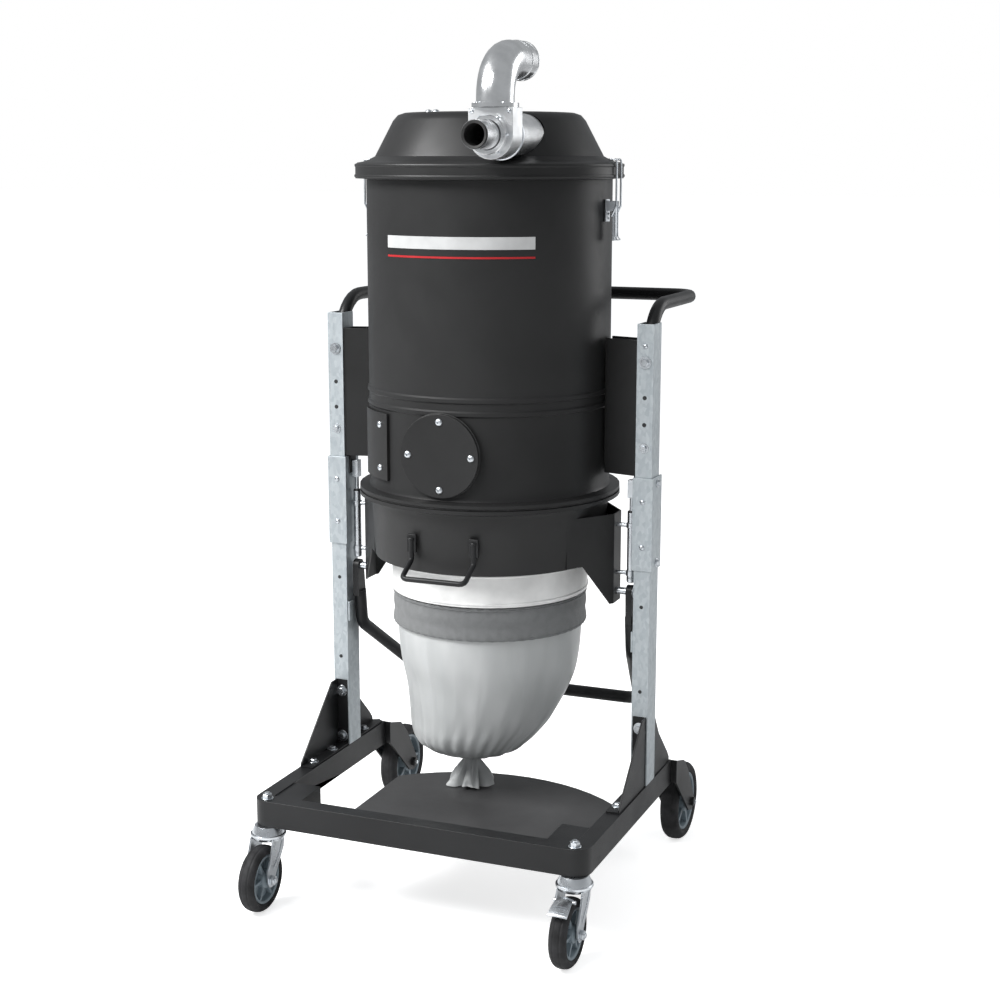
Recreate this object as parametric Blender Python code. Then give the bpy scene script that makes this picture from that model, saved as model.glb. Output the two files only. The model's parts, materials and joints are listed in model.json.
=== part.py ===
"""Wheeled dust collector: a drum with a filter, held between two posts on a rolling frame, over a bag.

Metres, +Z up, front of the machine towards -Y. Shapes are laid out about the drum's axis and then
hung on an empty that puts the origin at the centre of the footprint, on the floor.
"""

from math import atan2, cos, pi, radians, sin, sqrt, tan

import bmesh
import bpy
from mathutils import Matrix, Vector

# Gaps and sheet
GAP = 0.0004
SHEET = 0.003

# Drum and lid
DRUM_R = 0.230
DRUM_WALL = 0.0025
DRUM_BOTTOM = 0.768
DRUM_TOP = 1.3535
FLANGE_R = 0.2468
RIM_R = 0.250
LID_TOP = 1.467
BEAD_HEIGHTS = (0.936, 0.960)
DRUM_SIDES = 48

BRACKET_Z = (0.808, 1.060)
LUG_X, LUG_Z = (0.2944, 0.2970), (0.772, 0.824)

# Inlet cover on the front of the drum, side plate and deflector; bearings in degrees from the front
INLET_Z = 0.860
INLET_R = 0.072
INLET_STUB = (0.2255, 0.2345)
INLET_COVER_R = 0.0765
INLET_COVER_OUT = 0.2385
SIDE_PLATE_BEARINGS = (-58, -31)
SIDE_PLATE_Z = (0.800, 0.925)
DEFLECTOR_R = 0.199
DEFLECTOR_BEARING = 28
DEFLECTOR_Z = (0.790, 0.930)

# Filter, hung in the drum from its seat
SEAT_R = 0.158
SEAT_Z = (1.330, 1.333)
FILTER_R = 0.152
FILTER_RIM_R = 0.172
FILTER_Z = (1.020, 1.340)
FILTER_WALL = 0.006

# Collar under the drum, hopper and bag
COLLAR_TOP = 0.7640
COLLAR_BOTTOM = 0.638
COLLAR_R = 0.228
COLLAR_FOOT_R = 0.222
COLLAR_TRAVEL = 0.050
BAG_R = 0.1835
BAG_TOP = 0.5685
KNOT_Z = 0.222
KNOT_XY = (-0.026, -0.030)
BAG_FILM = 0.0015
BAG_STATIONS = (
    # height, radius, share of the way from the drum's axis to the knot
    (BAG_TOP, BAG_R, 0),
    (0.505, BAG_R, 0),
    (0.443, 0.178, 0),
    (0.387, 0.166, 0.05),
    (0.322, 0.145, 0.46),
    (0.290, 0.130, 0.8),
    (0.266, 0.112, 1),
    (0.250, 0.090, 1),
    (0.238, 0.060, 1),
    (0.230, 0.034, 1),
)
BAG_TAIL = ((KNOT_Z, 0.011, 1), (0.206, 0.032, 1.1), (0.166, 0.047, 1.2))
STRAP_Z = (0.5045, 0.5675)
WING_X = 0.259
WING_Z = (0.560, 0.733)

# Posts
POST_X = 0.317
POST_W = 0.032
POST_D = 0.050
POST_WALL = 0.0025
POST_JOIN = 0.700
POST_TOP = 1.090
SLEEVE_Z = (0.630, 0.806)
WEB_CUT = 0.346

# Rolling frame
FRAME_X = POST_X + POST_W / 2
FRAME_FRONT = -0.368
FRAME_REAR = 0.140
FRAME_Z = (0.158, 0.208)
BEAM_W = 0.032
CORNER_R = 0.030
CASTER_BOX_W, CASTER_BOX_D = 0.055, 0.114
TRAY_TOP = 0.165
TRAY_LEFT = -0.181
TRAY_ARC_CENTRE = (0.050, -0.292)
TRAY_ARC_R = 0.340

# Wheels
CASTER_X, CASTER_Y = 0.306, -0.352
CASTER_TRAIL = 0.034
CASTER_R = 0.0625
CASTER_W = 0.034
REAR_X, REAR_Y = POST_X, 0.256
REAR_R = 0.080
REAR_W = 0.038

# Push handle, lever and gas springs
HANDLE_R = 0.0125
HANDLE_FOOT_Z = 0.985
HANDLE_Z = 1.120
HANDLE_Y = 0.290
HANDLE_RISE_BEND, HANDLE_CORNER_BEND = 0.080, 0.040
LEVER_Z = 0.582
LEVER_X = 0.2875
LEVER_R = 0.0125
LEVER_BAR = (0.240, 0.220, 0.300)
SPRING_X = 0.2872
SPRING_R = 0.0075
SPRING_Z = (0.602, 0.735)
SPRING_TOP = 0.797

# Intake head on the lid
HEAD_X, HEAD_Y, HEAD_Z = 0.1135, -0.247, 1.424
HEAD_HALF_W = 0.041
HEAD_DEPTH = 0.044
HEAD_TOP = 1.470
HEAD_PORT_R = 0.0150
ELBOW_R = 0.033
ELBOW_BEND = 0.065
ELBOW_Z = 1.5524
ELBOW_END_Y = -0.125
ELBOW_FLANGE_R = 0.0405
SPIGOT_R = 0.0245
SPIGOT_BORE_R = 0.0210
SPIGOT_FLANGE_R = 0.0300
SPIGOT_TIP_Y = -0.338
DUCT_R = 0.0390
DUCT_END_Y = -0.116

# Toggle latches
LATCH_PIVOT = (0.247, 1.300)
HOOK_PIVOT = (0.2445, 1.282)
WIRE_R = 0.002

# The drum's axis lies this far behind the centre of the footprint
FOOTPRINT_SHIFT = (REAR_Y + REAR_R - CASTER_Y + CASTER_TRAIL + CASTER_R) / 2 - REAR_Y - REAR_R

MATERIALS = {
    "black_paint": ((0.028, 0.029, 0.030, 1), 0.42, 0.0),
    "frame_paint": ((0.022, 0.023, 0.024, 1), 0.38, 0.0),
    "galvanised": ((0.47, 0.52, 0.54, 1), 0.42, 0.9),
    "zinc": ((0.62, 0.64, 0.66, 1), 0.30, 1.0),
    "aluminium": ((0.72, 0.73, 0.74, 1), 0.26, 1.0),
    "rubber": ((0.018, 0.018, 0.019, 1), 0.75, 0.0),
    "hub_plastic": ((0.23, 0.26, 0.28, 1), 0.50, 0.0),
    "seal": ((0.03, 0.03, 0.03, 1), 0.85, 0.0),
    "white_plastic": ((0.80, 0.80, 0.79, 1), 0.45, 0.0),
    "bag_film": ((0.42, 0.44, 0.45, 1), 0.40, 0.0),
    "filter_felt": ((0.72, 0.71, 0.67, 1), 0.90, 0.0),
    "webbing": ((0.20, 0.21, 0.21, 1), 0.85, 0.0),
}


# --- Helpers -------------------------------------------------------------------------------------


def clear_scene():
    for obj in list(bpy.data.objects):
        bpy.data.objects.remove(obj, do_unlink=True)


def material(name):
    made = bpy.data.materials.get(name)
    if made:
        return made
    colour, roughness, metallic = MATERIALS[name]
    made = bpy.data.materials.new(name)
    made.use_nodes = True
    shader = made.node_tree.nodes["Principled BSDF"]
    shader.inputs["Base Color"].default_value = colour
    shader.inputs["Roughness"].default_value = roughness
    shader.inputs["Metallic"].default_value = metallic
    made.diffuse_color = colour
    return made


def finish_mesh(name, bm, finish, smooth=False):
    """A named object from a bmesh, with its faces turned outwards."""
    bmesh.ops.recalc_face_normals(bm, faces=bm.faces)
    mesh = bpy.data.meshes.new(name)
    bm.to_mesh(mesh)
    bm.free()
    mesh.materials.append(material(finish))
    if smooth:
        mesh.shade_smooth()
        mesh.set_sharp_from_angle(angle=radians(35))
    obj = bpy.data.objects.new(name, mesh)
    bpy.context.scene.collection.objects.link(obj)
    return obj


def box(name, low, high, finish="frame_paint"):
    bm = bmesh.new()
    size = Vector(high) - Vector(low)
    centre = (Vector(high) + Vector(low)) / 2
    bmesh.ops.create_cube(bm, size=1, matrix=Matrix.Translation(centre) @ Matrix.Diagonal((*size, 1)))
    return finish_mesh(name, bm, finish)


def prism(name, outline, plane, low, high, finish="frame_paint"):
    """A flat outline extruded from low to high along the axis that its plane leaves out."""
    place = {
        "XY": lambda u, v, w: (u, v, w),
        "XZ": lambda u, v, w: (u, w, v),
        "YZ": lambda u, v, w: (w, u, v),
    }[plane]
    bm = bmesh.new()
    face = bm.faces.new([bm.verts.new(place(u, v, low)) for u, v in outline])
    grown = bmesh.ops.extrude_face_region(bm, geom=[face])
    moved = [item for item in grown["geom"] if isinstance(item, bmesh.types.BMVert)]
    bmesh.ops.translate(bm, verts=moved, vec=Vector(place(0, 0, high - low)))
    return finish_mesh(name, bm, finish)


def axis_matrix(origin, direction):
    """Turns +Z to the given direction and moves the origin."""
    turn = Vector((0, 0, 1)).rotation_difference(Vector(direction)).to_matrix().to_4x4()
    return Matrix.Translation(Vector(origin)) @ turn


def turned(name, profile, finish, origin=(0, 0, 0), direction=(0, 0, 1), sides=DRUM_SIDES):
    """A closed outline of (radius, height) points spun about an axis."""
    bm = bmesh.new()
    verts = [bm.verts.new((r, 0, h)) for r, h in profile]
    edges = [
        bm.edges.new((a, b))
        for a, b in zip(verts, verts[1:] + verts[:1])
        if a.co.x > 1e-9 or b.co.x > 1e-9
    ]
    bmesh.ops.spin(
        bm, geom=verts + edges, cent=(0, 0, 0), axis=(0, 0, 1), angle=2 * pi, steps=sides, use_merge=True
    )
    bmesh.ops.remove_doubles(bm, verts=bm.verts, dist=1e-6)
    bmesh.ops.transform(bm, matrix=axis_matrix(origin, direction), verts=bm.verts)
    return finish_mesh(name, bm, finish, smooth=True)


def disc(name, r, low, high, finish, origin=(0, 0, 0), direction=(0, 0, 1), sides=24):
    return turned(name, [(0, low), (r, low), (r, high), (0, high)], finish, origin, direction, sides)


def ring(name, inner, outer, low, high, finish, origin=(0, 0, 0), direction=(0, 0, 1), sides=DRUM_SIDES):
    outline = [(inner, low), (outer, low), (outer, high), (inner, high)]
    return turned(name, outline, finish, origin, direction, sides)


def rounded_path(points, radii, steps=6):
    """The points' path with each inner corner replaced by an arc: one radius for all, or one for each."""
    points = [Vector(p) for p in points]
    if isinstance(radii, float):
        radii = [radii] * (len(points) - 2)
    path = [points[0]]
    for before, corner, after, radius in zip(points, points[1:], points[2:], radii):
        back, ahead = (before - corner).normalized(), (after - corner).normalized()
        half = back.angle(ahead) / 2
        sweep = pi - 2 * half
        centre = corner + (back + ahead).normalized() * (radius / sin(half))
        start = corner + back * (radius / tan(half)) - centre
        end = corner + ahead * (radius / tan(half)) - centre
        for i in range(steps + 1):
            turn = sweep * i / steps
            path.append(centre + (start * sin(sweep - turn) + end * sin(turn)) / sin(sweep))
    return path + [points[-1]]


def path_rings(path, radius, sides):
    """Circles across a path, turned as little as possible from one to the next."""
    ahead = [(b - a).normalized() for a, b in zip(path, path[1:])]
    tangents = [ahead[0]] + [(a + b).normalized() for a, b in zip(ahead, ahead[1:])] + [ahead[-1]]
    side = tangents[0].orthogonal().normalized()
    rings = []
    for i, (point, tangent) in enumerate(zip(path, tangents)):
        if i:
            side = tangents[i - 1].rotation_difference(tangent) @ side
        other = tangent.cross(side)
        turns = [2 * pi * k / sides for k in range(sides)]
        rings.append([point + (side * cos(t) + other * sin(t)) * radius for t in turns])
    return rings


def loft(name, rings, finish, smooth=True):
    """Equal rings of points bridged in order, with the first and the last one filled."""
    bm = bmesh.new()
    loops = [[bm.verts.new(p) for p in points] for points in rings]
    for low, high in zip(loops, loops[1:]):
        for k in range(len(low)):
            j = (k + 1) % len(low)
            bm.faces.new((low[k], low[j], high[j], high[k]))
    bm.faces.new(loops[0])
    bm.faces.new(loops[-1])
    return finish_mesh(name, bm, finish, smooth)


def rod(name, path, radius, finish, sides=12):
    return loft(name, path_rings([Vector(p) for p in path], radius, sides), finish)


def pipe(name, path, outer, inner, finish, sides=24):
    """A hollow tube along a path, open at both ends."""
    path = [Vector(p) for p in path]
    outside, inside = path_rings(path, outer, sides), path_rings(path, inner, sides)
    bm = bmesh.new()
    walls = [[[bm.verts.new(p) for p in points] for points in rings] for rings in (outside, inside)]
    for wall in walls:
        for low, high in zip(wall, wall[1:]):
            for k in range(sides):
                j = (k + 1) % sides
                bm.faces.new((low[k], low[j], high[j], high[k]))
    for end in (0, -1):
        for k in range(sides):
            j = (k + 1) % sides
            out, inn = walls[0][end], walls[1][end]
            bm.faces.new((out[k], out[j], inn[j], inn[k]))
    return finish_mesh(name, bm, finish, smooth=True)


def combine(target, tool, operation):
    """A Boolean of the target with a hidden tool object."""
    tool.hide_render = True
    tool.display_type = "WIRE"
    tool.name = f"{target.name}_{operation.lower()}_{len(target.modifiers)}"
    step = target.modifiers.new(tool.name, "BOOLEAN")
    step.operation = operation
    step.solver = "EXACT"
    step.object = tool
    return target


def weld(target, *tools):
    for tool in tools:
        combine(target, tool, "UNION")
    return target


def cut(target, *tools):
    for tool in tools:
        combine(target, tool, "DIFFERENCE")
    return target


def arc(centre, radius, start, end, steps):
    """Points on a circle between two angles in degrees."""
    turns = [radians(start + (end - start) * i / steps) for i in range(steps + 1)]
    return [(centre[0] + radius * cos(t), centre[1] + radius * sin(t)) for t in turns]


def strip_outline(path, thickness):
    """The outline of a bent sheet that follows a flat path at its middle."""
    points = [Vector(p) for p in path]
    ahead = [(b - a).normalized() for a, b in zip(points, points[1:])]
    sides = []
    for i, point in enumerate(points):
        near = [ahead[max(i - 1, 0)], ahead[min(i, len(ahead) - 1)]]
        normal = Vector((-(near[0].y + near[1].y), near[0].x + near[1].x)).normalized()
        reach = thickness / 2 / max(normal.dot(Vector((-near[0].y, near[0].x))), 0.2)
        sides.append((point + normal * reach, point - normal * reach))
    return [tuple(a) for a, _ in sides] + [tuple(b) for _, b in reversed(sides)]


def mirrored(points, side):
    """Flat (x, y) points for the right side, mirrored for the left one and kept in the same turn."""
    return points if side > 0 else [(-x, y) for x, y in reversed(points)]


def span(side, low, high):
    """An interval along X on the given side of the machine."""
    return (low, high) if side > 0 else (-high, -low)


def side_box(name, side, low, high, finish="frame_paint"):
    x = span(side, low[0], high[0])
    return box(name, (x[0], *low[1:]), (x[1], *high[1:]), finish)


def side_name(side):
    return "right" if side > 0 else "left"


def hang(name, at, *objects):
    """Puts an empty on a joint's axis and hangs objects from it, without moving them."""
    axis = bpy.data.objects.new(name, None)
    axis.empty_display_size = 0.03
    axis.location = at
    bpy.context.scene.collection.objects.link(axis)
    for obj in objects:
        if obj.parent:
            continue
        obj.parent = axis
        obj.location = -Vector(at)
    return axis


# --- Rolling frame -------------------------------------------------------------------------------


def frame_outline(inset):
    """The plan of the U-shaped beam, drawn in by the inset on both walls."""
    outer, front = FRAME_X - inset, FRAME_FRONT + inset
    inner, back = FRAME_X - BEAM_W + inset, FRAME_FRONT + BEAM_W - inset
    rear = FRAME_REAR + 5 * inset
    bend, inner_bend = CORNER_R - inset, 0.004
    left = arc((-outer + bend, front + bend), bend, 180, 270, 6)
    right = arc((outer - bend, front + bend), bend, 270, 360, 6)
    inner_right = arc((inner - inner_bend, back + inner_bend), inner_bend, 0, -90, 2)
    inner_left = arc((-inner + inner_bend, back + inner_bend), inner_bend, 270, 180, 2)
    outside = [(-outer, rear)] + left + right + [(outer, rear)]
    return outside + [(inner, rear)] + inner_right + inner_left + [(-inner, rear)]


def make_base_frame():
    frame = prism("base_frame", frame_outline(0), "XY", *FRAME_Z)
    hollow = prism("hollow", frame_outline(SHEET), "XY", FRAME_Z[0] - 0.01, FRAME_Z[1] - SHEET)
    cut(frame, hollow)
    inner = FRAME_X - BEAM_W
    face, seam = inner - CASTER_BOX_W, inner + 0.001
    front, back = FRAME_FRONT + BEAM_W - 0.001, FRAME_FRONT + CASTER_BOX_D
    low, high = FRAME_Z[0] + 0.001, FRAME_Z[1] - 0.0025
    for side in (-1, 1):
        weld(
            frame,
            side_box("top", side, (face, front, high - SHEET), (seam, back, high)),
            side_box("face", side, (face, front, low), (face + SHEET, back, high)),
            side_box("end", side, (face, back - SHEET, low), (seam, back, high)),
        )
    return frame


def make_tray():
    """A flat tray with a round back edge, set towards the right beam."""
    right, front = FRAME_X - BEAM_W - 0.001, FRAME_FRONT + BEAM_W + 0.001
    cx, cy = TRAY_ARC_CENTRE
    pad = CASTER_BOX_W + 0.001
    pad_end = FRAME_FRONT + CASTER_BOX_D + 0.002
    start = atan2(sqrt(TRAY_ARC_R**2 - (right - cx) ** 2), right - cx) * 180 / pi
    end = 180 - atan2(sqrt(TRAY_ARC_R**2 - (TRAY_LEFT - cx) ** 2), cx - TRAY_LEFT) * 180 / pi
    back = arc((cx, cy), TRAY_ARC_R, start, end, 14)
    notch = [(right - pad, front), (right - pad, pad_end), (right, pad_end)]
    outline = [(TRAY_LEFT, front)] + notch + back
    tray = prism("collection_tray", outline, "XY", TRAY_TOP - SHEET, TRAY_TOP)
    lip_z = (TRAY_TOP - 0.016, TRAY_TOP - 0.001)
    return weld(tray, box("lip", (TRAY_LEFT, front, lip_z[0]), (TRAY_LEFT + SHEET, cy + 0.22, lip_z[1])))


def make_gusset(side):
    """A triangular plate inside the post's outer flange, with a front plate and a foot."""
    top, foot = WEB_CUT - 0.001, FRAME_Z[1] + GAP
    outer = POST_X + POST_W / 2 - POST_WALL - GAP
    x = span(side, outer - SHEET, outer)
    outline = [(-0.180, foot), (-0.180, 0.216), (-0.046, top), (0.024, top), (0.062, 0.288)]
    outline += [(0.122, 0.230), (0.133, 0.216), (0.133, foot)]
    plate = prism(f"{side_name(side)}_gusset", outline, "YZ", *x)
    inner = POST_X - POST_W / 2 + POST_WALL + GAP
    base = side_box("foot", side, (inner, -0.180, foot), (outer, 0.133, foot + SHEET))
    front_y = -POST_D / 2 + 0.0005
    web = side_box("web", side, (inner, front_y, foot + 0.001), (outer, front_y + SHEET, top))
    return weld(plate, base, web)


def channel(name, side, z, depth, finish="galvanised"):
    """A post of U section, web to the front and open to the rear."""
    low, high = POST_X - POST_W / 2, POST_X + POST_W / 2
    front, back = -POST_D / 2, -POST_D / 2 + depth
    wall = POST_WALL
    outline = [(low, back), (low, front), (high, front), (high, back), (high - wall, back)]
    outline += [(high - wall, front + wall), (low + wall, front + wall), (low + wall, back)]
    return prism(name, mirrored(outline, side), "XY", *z, finish)


def make_posts(side):
    name = side_name(side)
    lower = channel(f"{name}_lower_post", side, (FRAME_Z[1] + 2 * GAP, POST_JOIN - GAP), POST_D)
    inner, outer = POST_X - POST_W / 2 + POST_WALL, POST_X + POST_W / 2 - POST_WALL
    cut(lower, side_box("cut", side, (inner, -0.04, FRAME_Z[1] - 0.01), (outer, 0, WEB_CUT)))
    foot = side_box("foot_cut", side, (inner - 0.001, -0.04, 0.20), (outer, 0.04, FRAME_Z[1] + 0.001))
    cut(lower, foot)
    upper = channel(f"{name}_upper_post", side, (POST_JOIN + GAP, POST_TOP), 0.046)
    reach, wall = 0.0005, SHEET
    low, high = POST_X - POST_W / 2 - reach - wall, POST_X + POST_W / 2 + reach + wall
    front, back = -POST_D / 2 - reach - wall, POST_D / 2 + wall
    outline = [(low, back), (low, front), (high, front), (high, back), (high - wall, back)]
    outline += [(high - wall, front + wall), (low + wall, front + wall), (low + wall, back)]
    sleeve = prism(f"{name}_post_sleeve", mirrored(outline, side), "XY", *SLEEVE_Z, "galvanised")
    return [lower, upper, sleeve]


def make_push_handle():
    y = 0.003
    corners = [(-POST_X, y, HANDLE_FOOT_Z), (-POST_X, y, HANDLE_Z), (-POST_X, HANDLE_Y, HANDLE_Z)]
    corners += [(-x, py, pz) for x, py, pz in reversed(corners)]
    bends = (HANDLE_RISE_BEND, HANDLE_CORNER_BEND, HANDLE_CORNER_BEND, HANDLE_RISE_BEND)
    return rod("push_handle", rounded_path(corners, bends, 8), HANDLE_R, "frame_paint", sides=16)


# --- Wheels --------------------------------------------------------------------------------------


def wheel(name, centre, radius, width):
    """A tyre and its hub, on an axis along X."""
    x, y, z = centre
    half, rim = width / 2, radius * 0.74
    tread = [(rim + 0.0004, -half + 0.002), (radius - 0.008, -half), (radius - 0.002, -half + 0.006)]
    tread += [(radius, -half + 0.012), (radius, half - 0.012), (radius - 0.002, half - 0.006)]
    tread += [(radius - 0.008, half), (rim + 0.0004, half - 0.002)]
    tyre = turned(f"{name}_tyre", tread, "rubber", centre, (1, 0, 0), 32)
    bore, boss = 0.0058, radius * 0.27
    shape = [(bore, -half - 0.001), (boss, -half - 0.001), (boss, -0.004), (rim - 0.005, -0.004)]
    shape += [(rim - 0.005, -half + 0.004), (rim, -half + 0.004), (rim, half - 0.004)]
    shape += [(rim - 0.005, half - 0.004), (rim - 0.005, 0.004), (boss, 0.004), (boss, half + 0.001)]
    shape += [(bore, half + 0.001)]
    hub = turned(f"{name}_hub", shape, "hub_plastic", centre, (1, 0, 0), 24)
    return tyre, hub


def make_caster(side):
    name = f"{side_name(side)}_caster"
    cx = side * CASTER_X
    axle_y = CASTER_Y - CASTER_TRAIL
    inner, plate = 0.0215, 0.003
    head = turned(
        f"{name}_fork",
        [(0, 0.132), (0.030, 0.132), (0.032, 0.137), (0.030, 0.1465), (0.025, 0.1575), (0, 0.1575)],
        "zinc",
        (cx, CASTER_Y, 0),
        sides=24,
    )
    back = CASTER_Y + 0.018
    outline = [(back, 0.137), (back - 0.004, 0.112), (axle_y + 0.014, CASTER_R + 0.004)]
    outline += arc((axle_y, CASTER_R), 0.014, 0, -180, 6)
    outline += [(axle_y - 0.014, CASTER_R + 0.020), (axle_y + 0.004, 0.118), (axle_y + 0.008, 0.137)]
    for cheek in (-1, 1):
        low, high = sorted((cx + cheek * inner, cx + cheek * (inner + plate)))
        weld(head, prism("cheek", outline, "YZ", low, high, "zinc"))
        start = inner + plate - 0.001
        at = (cx, axle_y, CASTER_R)
        weld(head, disc("bolt", 0.008, start, start + 0.006, "zinc", at, (cheek, 0, 0), 6))
    centre = (cx, axle_y, CASTER_R)
    axle = disc(f"{name}_axle", 0.005, -inner + GAP, inner - GAP, "zinc", centre, (1, 0, 0), 16)
    tyre, hub = wheel(name, centre, CASTER_R, CASTER_W)
    stem_top = FRAME_Z[1] - SHEET - GAP
    stem = disc(f"{name}_stem", 0.008, 0.1575 + GAP, stem_top, "zinc", (cx, CASTER_Y, 0), sides=12)
    swivel = hang(f"{name}_swivel_axis", (cx, CASTER_Y, 0.15), head)
    spin = hang(f"{name}_spin_axis", (cx, axle_y, CASTER_R), axle, tyre, hub)
    spin.parent = swivel
    spin.location = Vector((cx, axle_y, CASTER_R)) - Vector((cx, CASTER_Y, 0.15))
    return stem, swivel


def make_brake_pedal():
    """A flared tread plate in front of the right caster, on an axis along X."""
    cx = CASTER_X
    pivot = (cx, CASTER_Y - 0.050, 0.130)
    y, z = pivot[1:]
    side = [(y + 0.006, z + 0.004), (y - 0.004, z + 0.006), (y - 0.034, z - 0.008), (y - 0.040, z - 0.014)]
    side += [(y - 0.037, z - 0.016), (y - 0.031, z - 0.012), (y - 0.004, z + 0.001), (y + 0.006, z - 0.001)]
    pedal = prism("brake_pedal", side, "YZ", cx - 0.018, cx + 0.018, "zinc")
    return hang("brake_pedal_axis", pivot, pedal)


def make_rear_wheel(side):
    name = f"rear_{side_name(side)}_wheel"
    cx = side * REAR_X
    centre = (cx, REAR_Y, REAR_R)
    inner, plate = 0.0235, 0.004
    front = FRAME_REAR + GAP
    low, high = FRAME_Z[0] + 0.002, FRAME_Z[1] - 0.002
    half = inner + plate
    bracket = box(f"{name}_bracket", (cx - half, front, low), (cx + half, front + plate, high))
    outline = [(front, high), (front, low), (REAR_Y - 0.020, REAR_R - 0.012)]
    outline += arc((REAR_Y, REAR_R), 0.018, 235, 400, 7)
    outline += [(REAR_Y - 0.030, 0.160), (REAR_Y - 0.060, 0.190)]
    for cheek in (-1, 1):
        x = sorted((cx + cheek * inner, cx + cheek * (inner + plate)))
        weld(bracket, prism("cheek", outline, "YZ", *x))
        start = half - 0.001
        weld(bracket, disc("nut", 0.010, start, start + 0.007, "zinc", centre, (cheek, 0, 0), 6))
    reach = inner + 0.001
    weld(bracket, disc("axle", 0.0052, -reach, reach, "zinc", centre, (1, 0, 0), 16))
    tyre, hub = wheel(name, centre, REAR_R, REAR_W)
    return bracket, hang(f"{name}_axis", centre, tyre, hub)


# --- Drum, lid and filter ------------------------------------------------------------------------


def sector(name, inner, outer, start, end, low, high, finish):
    """A curved plate between two bearings, measured in degrees from the front towards +X."""
    steps = 8
    outside = arc((0, 0), outer, start - 90, end - 90, steps)
    inside = arc((0, 0), inner, end - 90, start - 90, steps)
    return prism(name, outside + inside, "XY", low, high, finish)


def make_drum():
    inner = DRUM_R - DRUM_WALL
    outside = [(inner, DRUM_BOTTOM), (0.2500, DRUM_BOTTOM), (0.2500, DRUM_BOTTOM + 0.006)]
    outside += [(DRUM_R + 0.002, DRUM_BOTTOM + 0.009), (DRUM_R, DRUM_BOTTOM + 0.014)]
    for height in BEAD_HEIGHTS:
        swell = [(0, -0.006), (0.0028, -0.003), (0.0028, 0.003), (0, 0.006)]
        outside += [(DRUM_R + out, height + up) for out, up in swell]
    outside += [(DRUM_R, DRUM_TOP - 0.006), (FLANGE_R, DRUM_TOP - 0.004), (FLANGE_R, DRUM_TOP)]
    drum = turned("drum_shell", outside + [(inner, DRUM_TOP)], "black_paint")
    port = (0, 0, INLET_Z)
    weld(drum, disc("stub", INLET_R, *INLET_STUB, "black_paint", port, (0, -1, 0), 32))
    return cut(drum, disc("bore", INLET_R - SHEET, 0.18, 0.25, "black_paint", port, (0, -1, 0), 32))


def make_drum_fittings():
    inner, port = DRUM_R - DRUM_WALL, (0, 0, INLET_Z)
    reach = (INLET_STUB[1] + GAP, INLET_COVER_OUT)
    cover = disc("inlet_cover", INLET_COVER_R, *reach, "black_paint", port, (0, -1, 0), 40)
    face, thick = DRUM_R + GAP, 0.0051
    plate = sector("side_inlet_plate", face, face + thick, *SIDE_PLATE_BEARINGS, *SIDE_PLATE_Z, "black_paint")
    turn, z = DEFLECTOR_BEARING, DEFLECTOR_Z
    deflector = sector("inlet_deflector", DEFLECTOR_R - SHEET, DEFLECTOR_R, -turn, turn, *z, "zinc")
    for edge in (1 - turn, turn - 3):
        arm_z = (z[0] + 0.005, z[1] - 0.005)
        weld(deflector, sector("arm", DEFLECTOR_R - 0.001, inner - 2 * GAP, edge, edge + 2, *arm_z, "zinc"))
    seat = ring("filter_seat", SEAT_R, inner - GAP, *SEAT_Z, "zinc")
    low, high = FILTER_Z
    rim = SEAT_Z[1] + GAP
    shape = [(0, low), (FILTER_R - FILTER_WALL, low), (FILTER_R, low + FILTER_WALL), (FILTER_R, rim)]
    shape += [(FILTER_RIM_R, rim), (FILTER_RIM_R, high), (FILTER_R - 0.004, high)]
    shape += [(FILTER_R - 0.008, low + 0.010), (0, low + 0.010)]
    element = turned("filter_element", shape, "filter_felt", sides=32)
    return [cover, plate, deflector, seat, element]


def make_drum_bracket(side):
    """A bent plate that ties the drum to its post, with a lug for the gas spring."""
    face = POST_X - POST_W / 2 - GAP - SHEET / 2
    path = [(0.2345, -0.004), (face, -0.020), (face, 0.020), (0.2320, 0.040)]
    outline = mirrored(strip_outline(path, SHEET), side)
    bracket = prism(f"{side_name(side)}_drum_bracket", outline, "XY", *BRACKET_Z, "black_paint")
    half = 0.012
    lug = side_box("lug", side, (LUG_X[0], -half, LUG_Z[0]), (LUG_X[1], half, LUG_Z[1]))
    joggle = side_box("joggle", side, (LUG_X[0], -half, BRACKET_Z[0] + 0.002), (face, half, LUG_Z[1]))
    return weld(bracket, lug, joggle)


def lid_profile():
    inset = 0.003
    outer = [(0, LID_TOP), (0.158, LID_TOP), (0.170, LID_TOP - 0.004), (0.179, LID_TOP - 0.014)]
    outer += [(0.213, 1.389), (0.2225, 1.384), (0.232, 1.380), (0.246, 1.3775)]
    outer += [(RIM_R, 1.374), (RIM_R, 1.349)]
    skirt = [(RIM_R - 0.0025, 1.349), (RIM_R - 0.0025, 1.3605), (0.229, 1.3605)]
    inner = [(0.2225, 1.3765), (0.209, 1.386), (0.175, 1.452)]
    inner += [(0.167, LID_TOP - 0.007), (0.155, LID_TOP - inset)]
    return outer + skirt + inner + [(0, LID_TOP - inset)]


def make_lid():
    lid = turned("lid", lid_profile(), "black_paint")
    axis = (HEAD_X, 0, HEAD_Z)
    cut(lid, disc("duct_hole", DUCT_R + GAP, 0.05, 0.30, "black_paint", axis, (0, -1, 0), 32))
    gasket = ring("lid_gasket", 0.2290, 0.2455, DRUM_TOP + GAP, 1.3600, "seal")
    return [lid, gasket]


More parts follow.
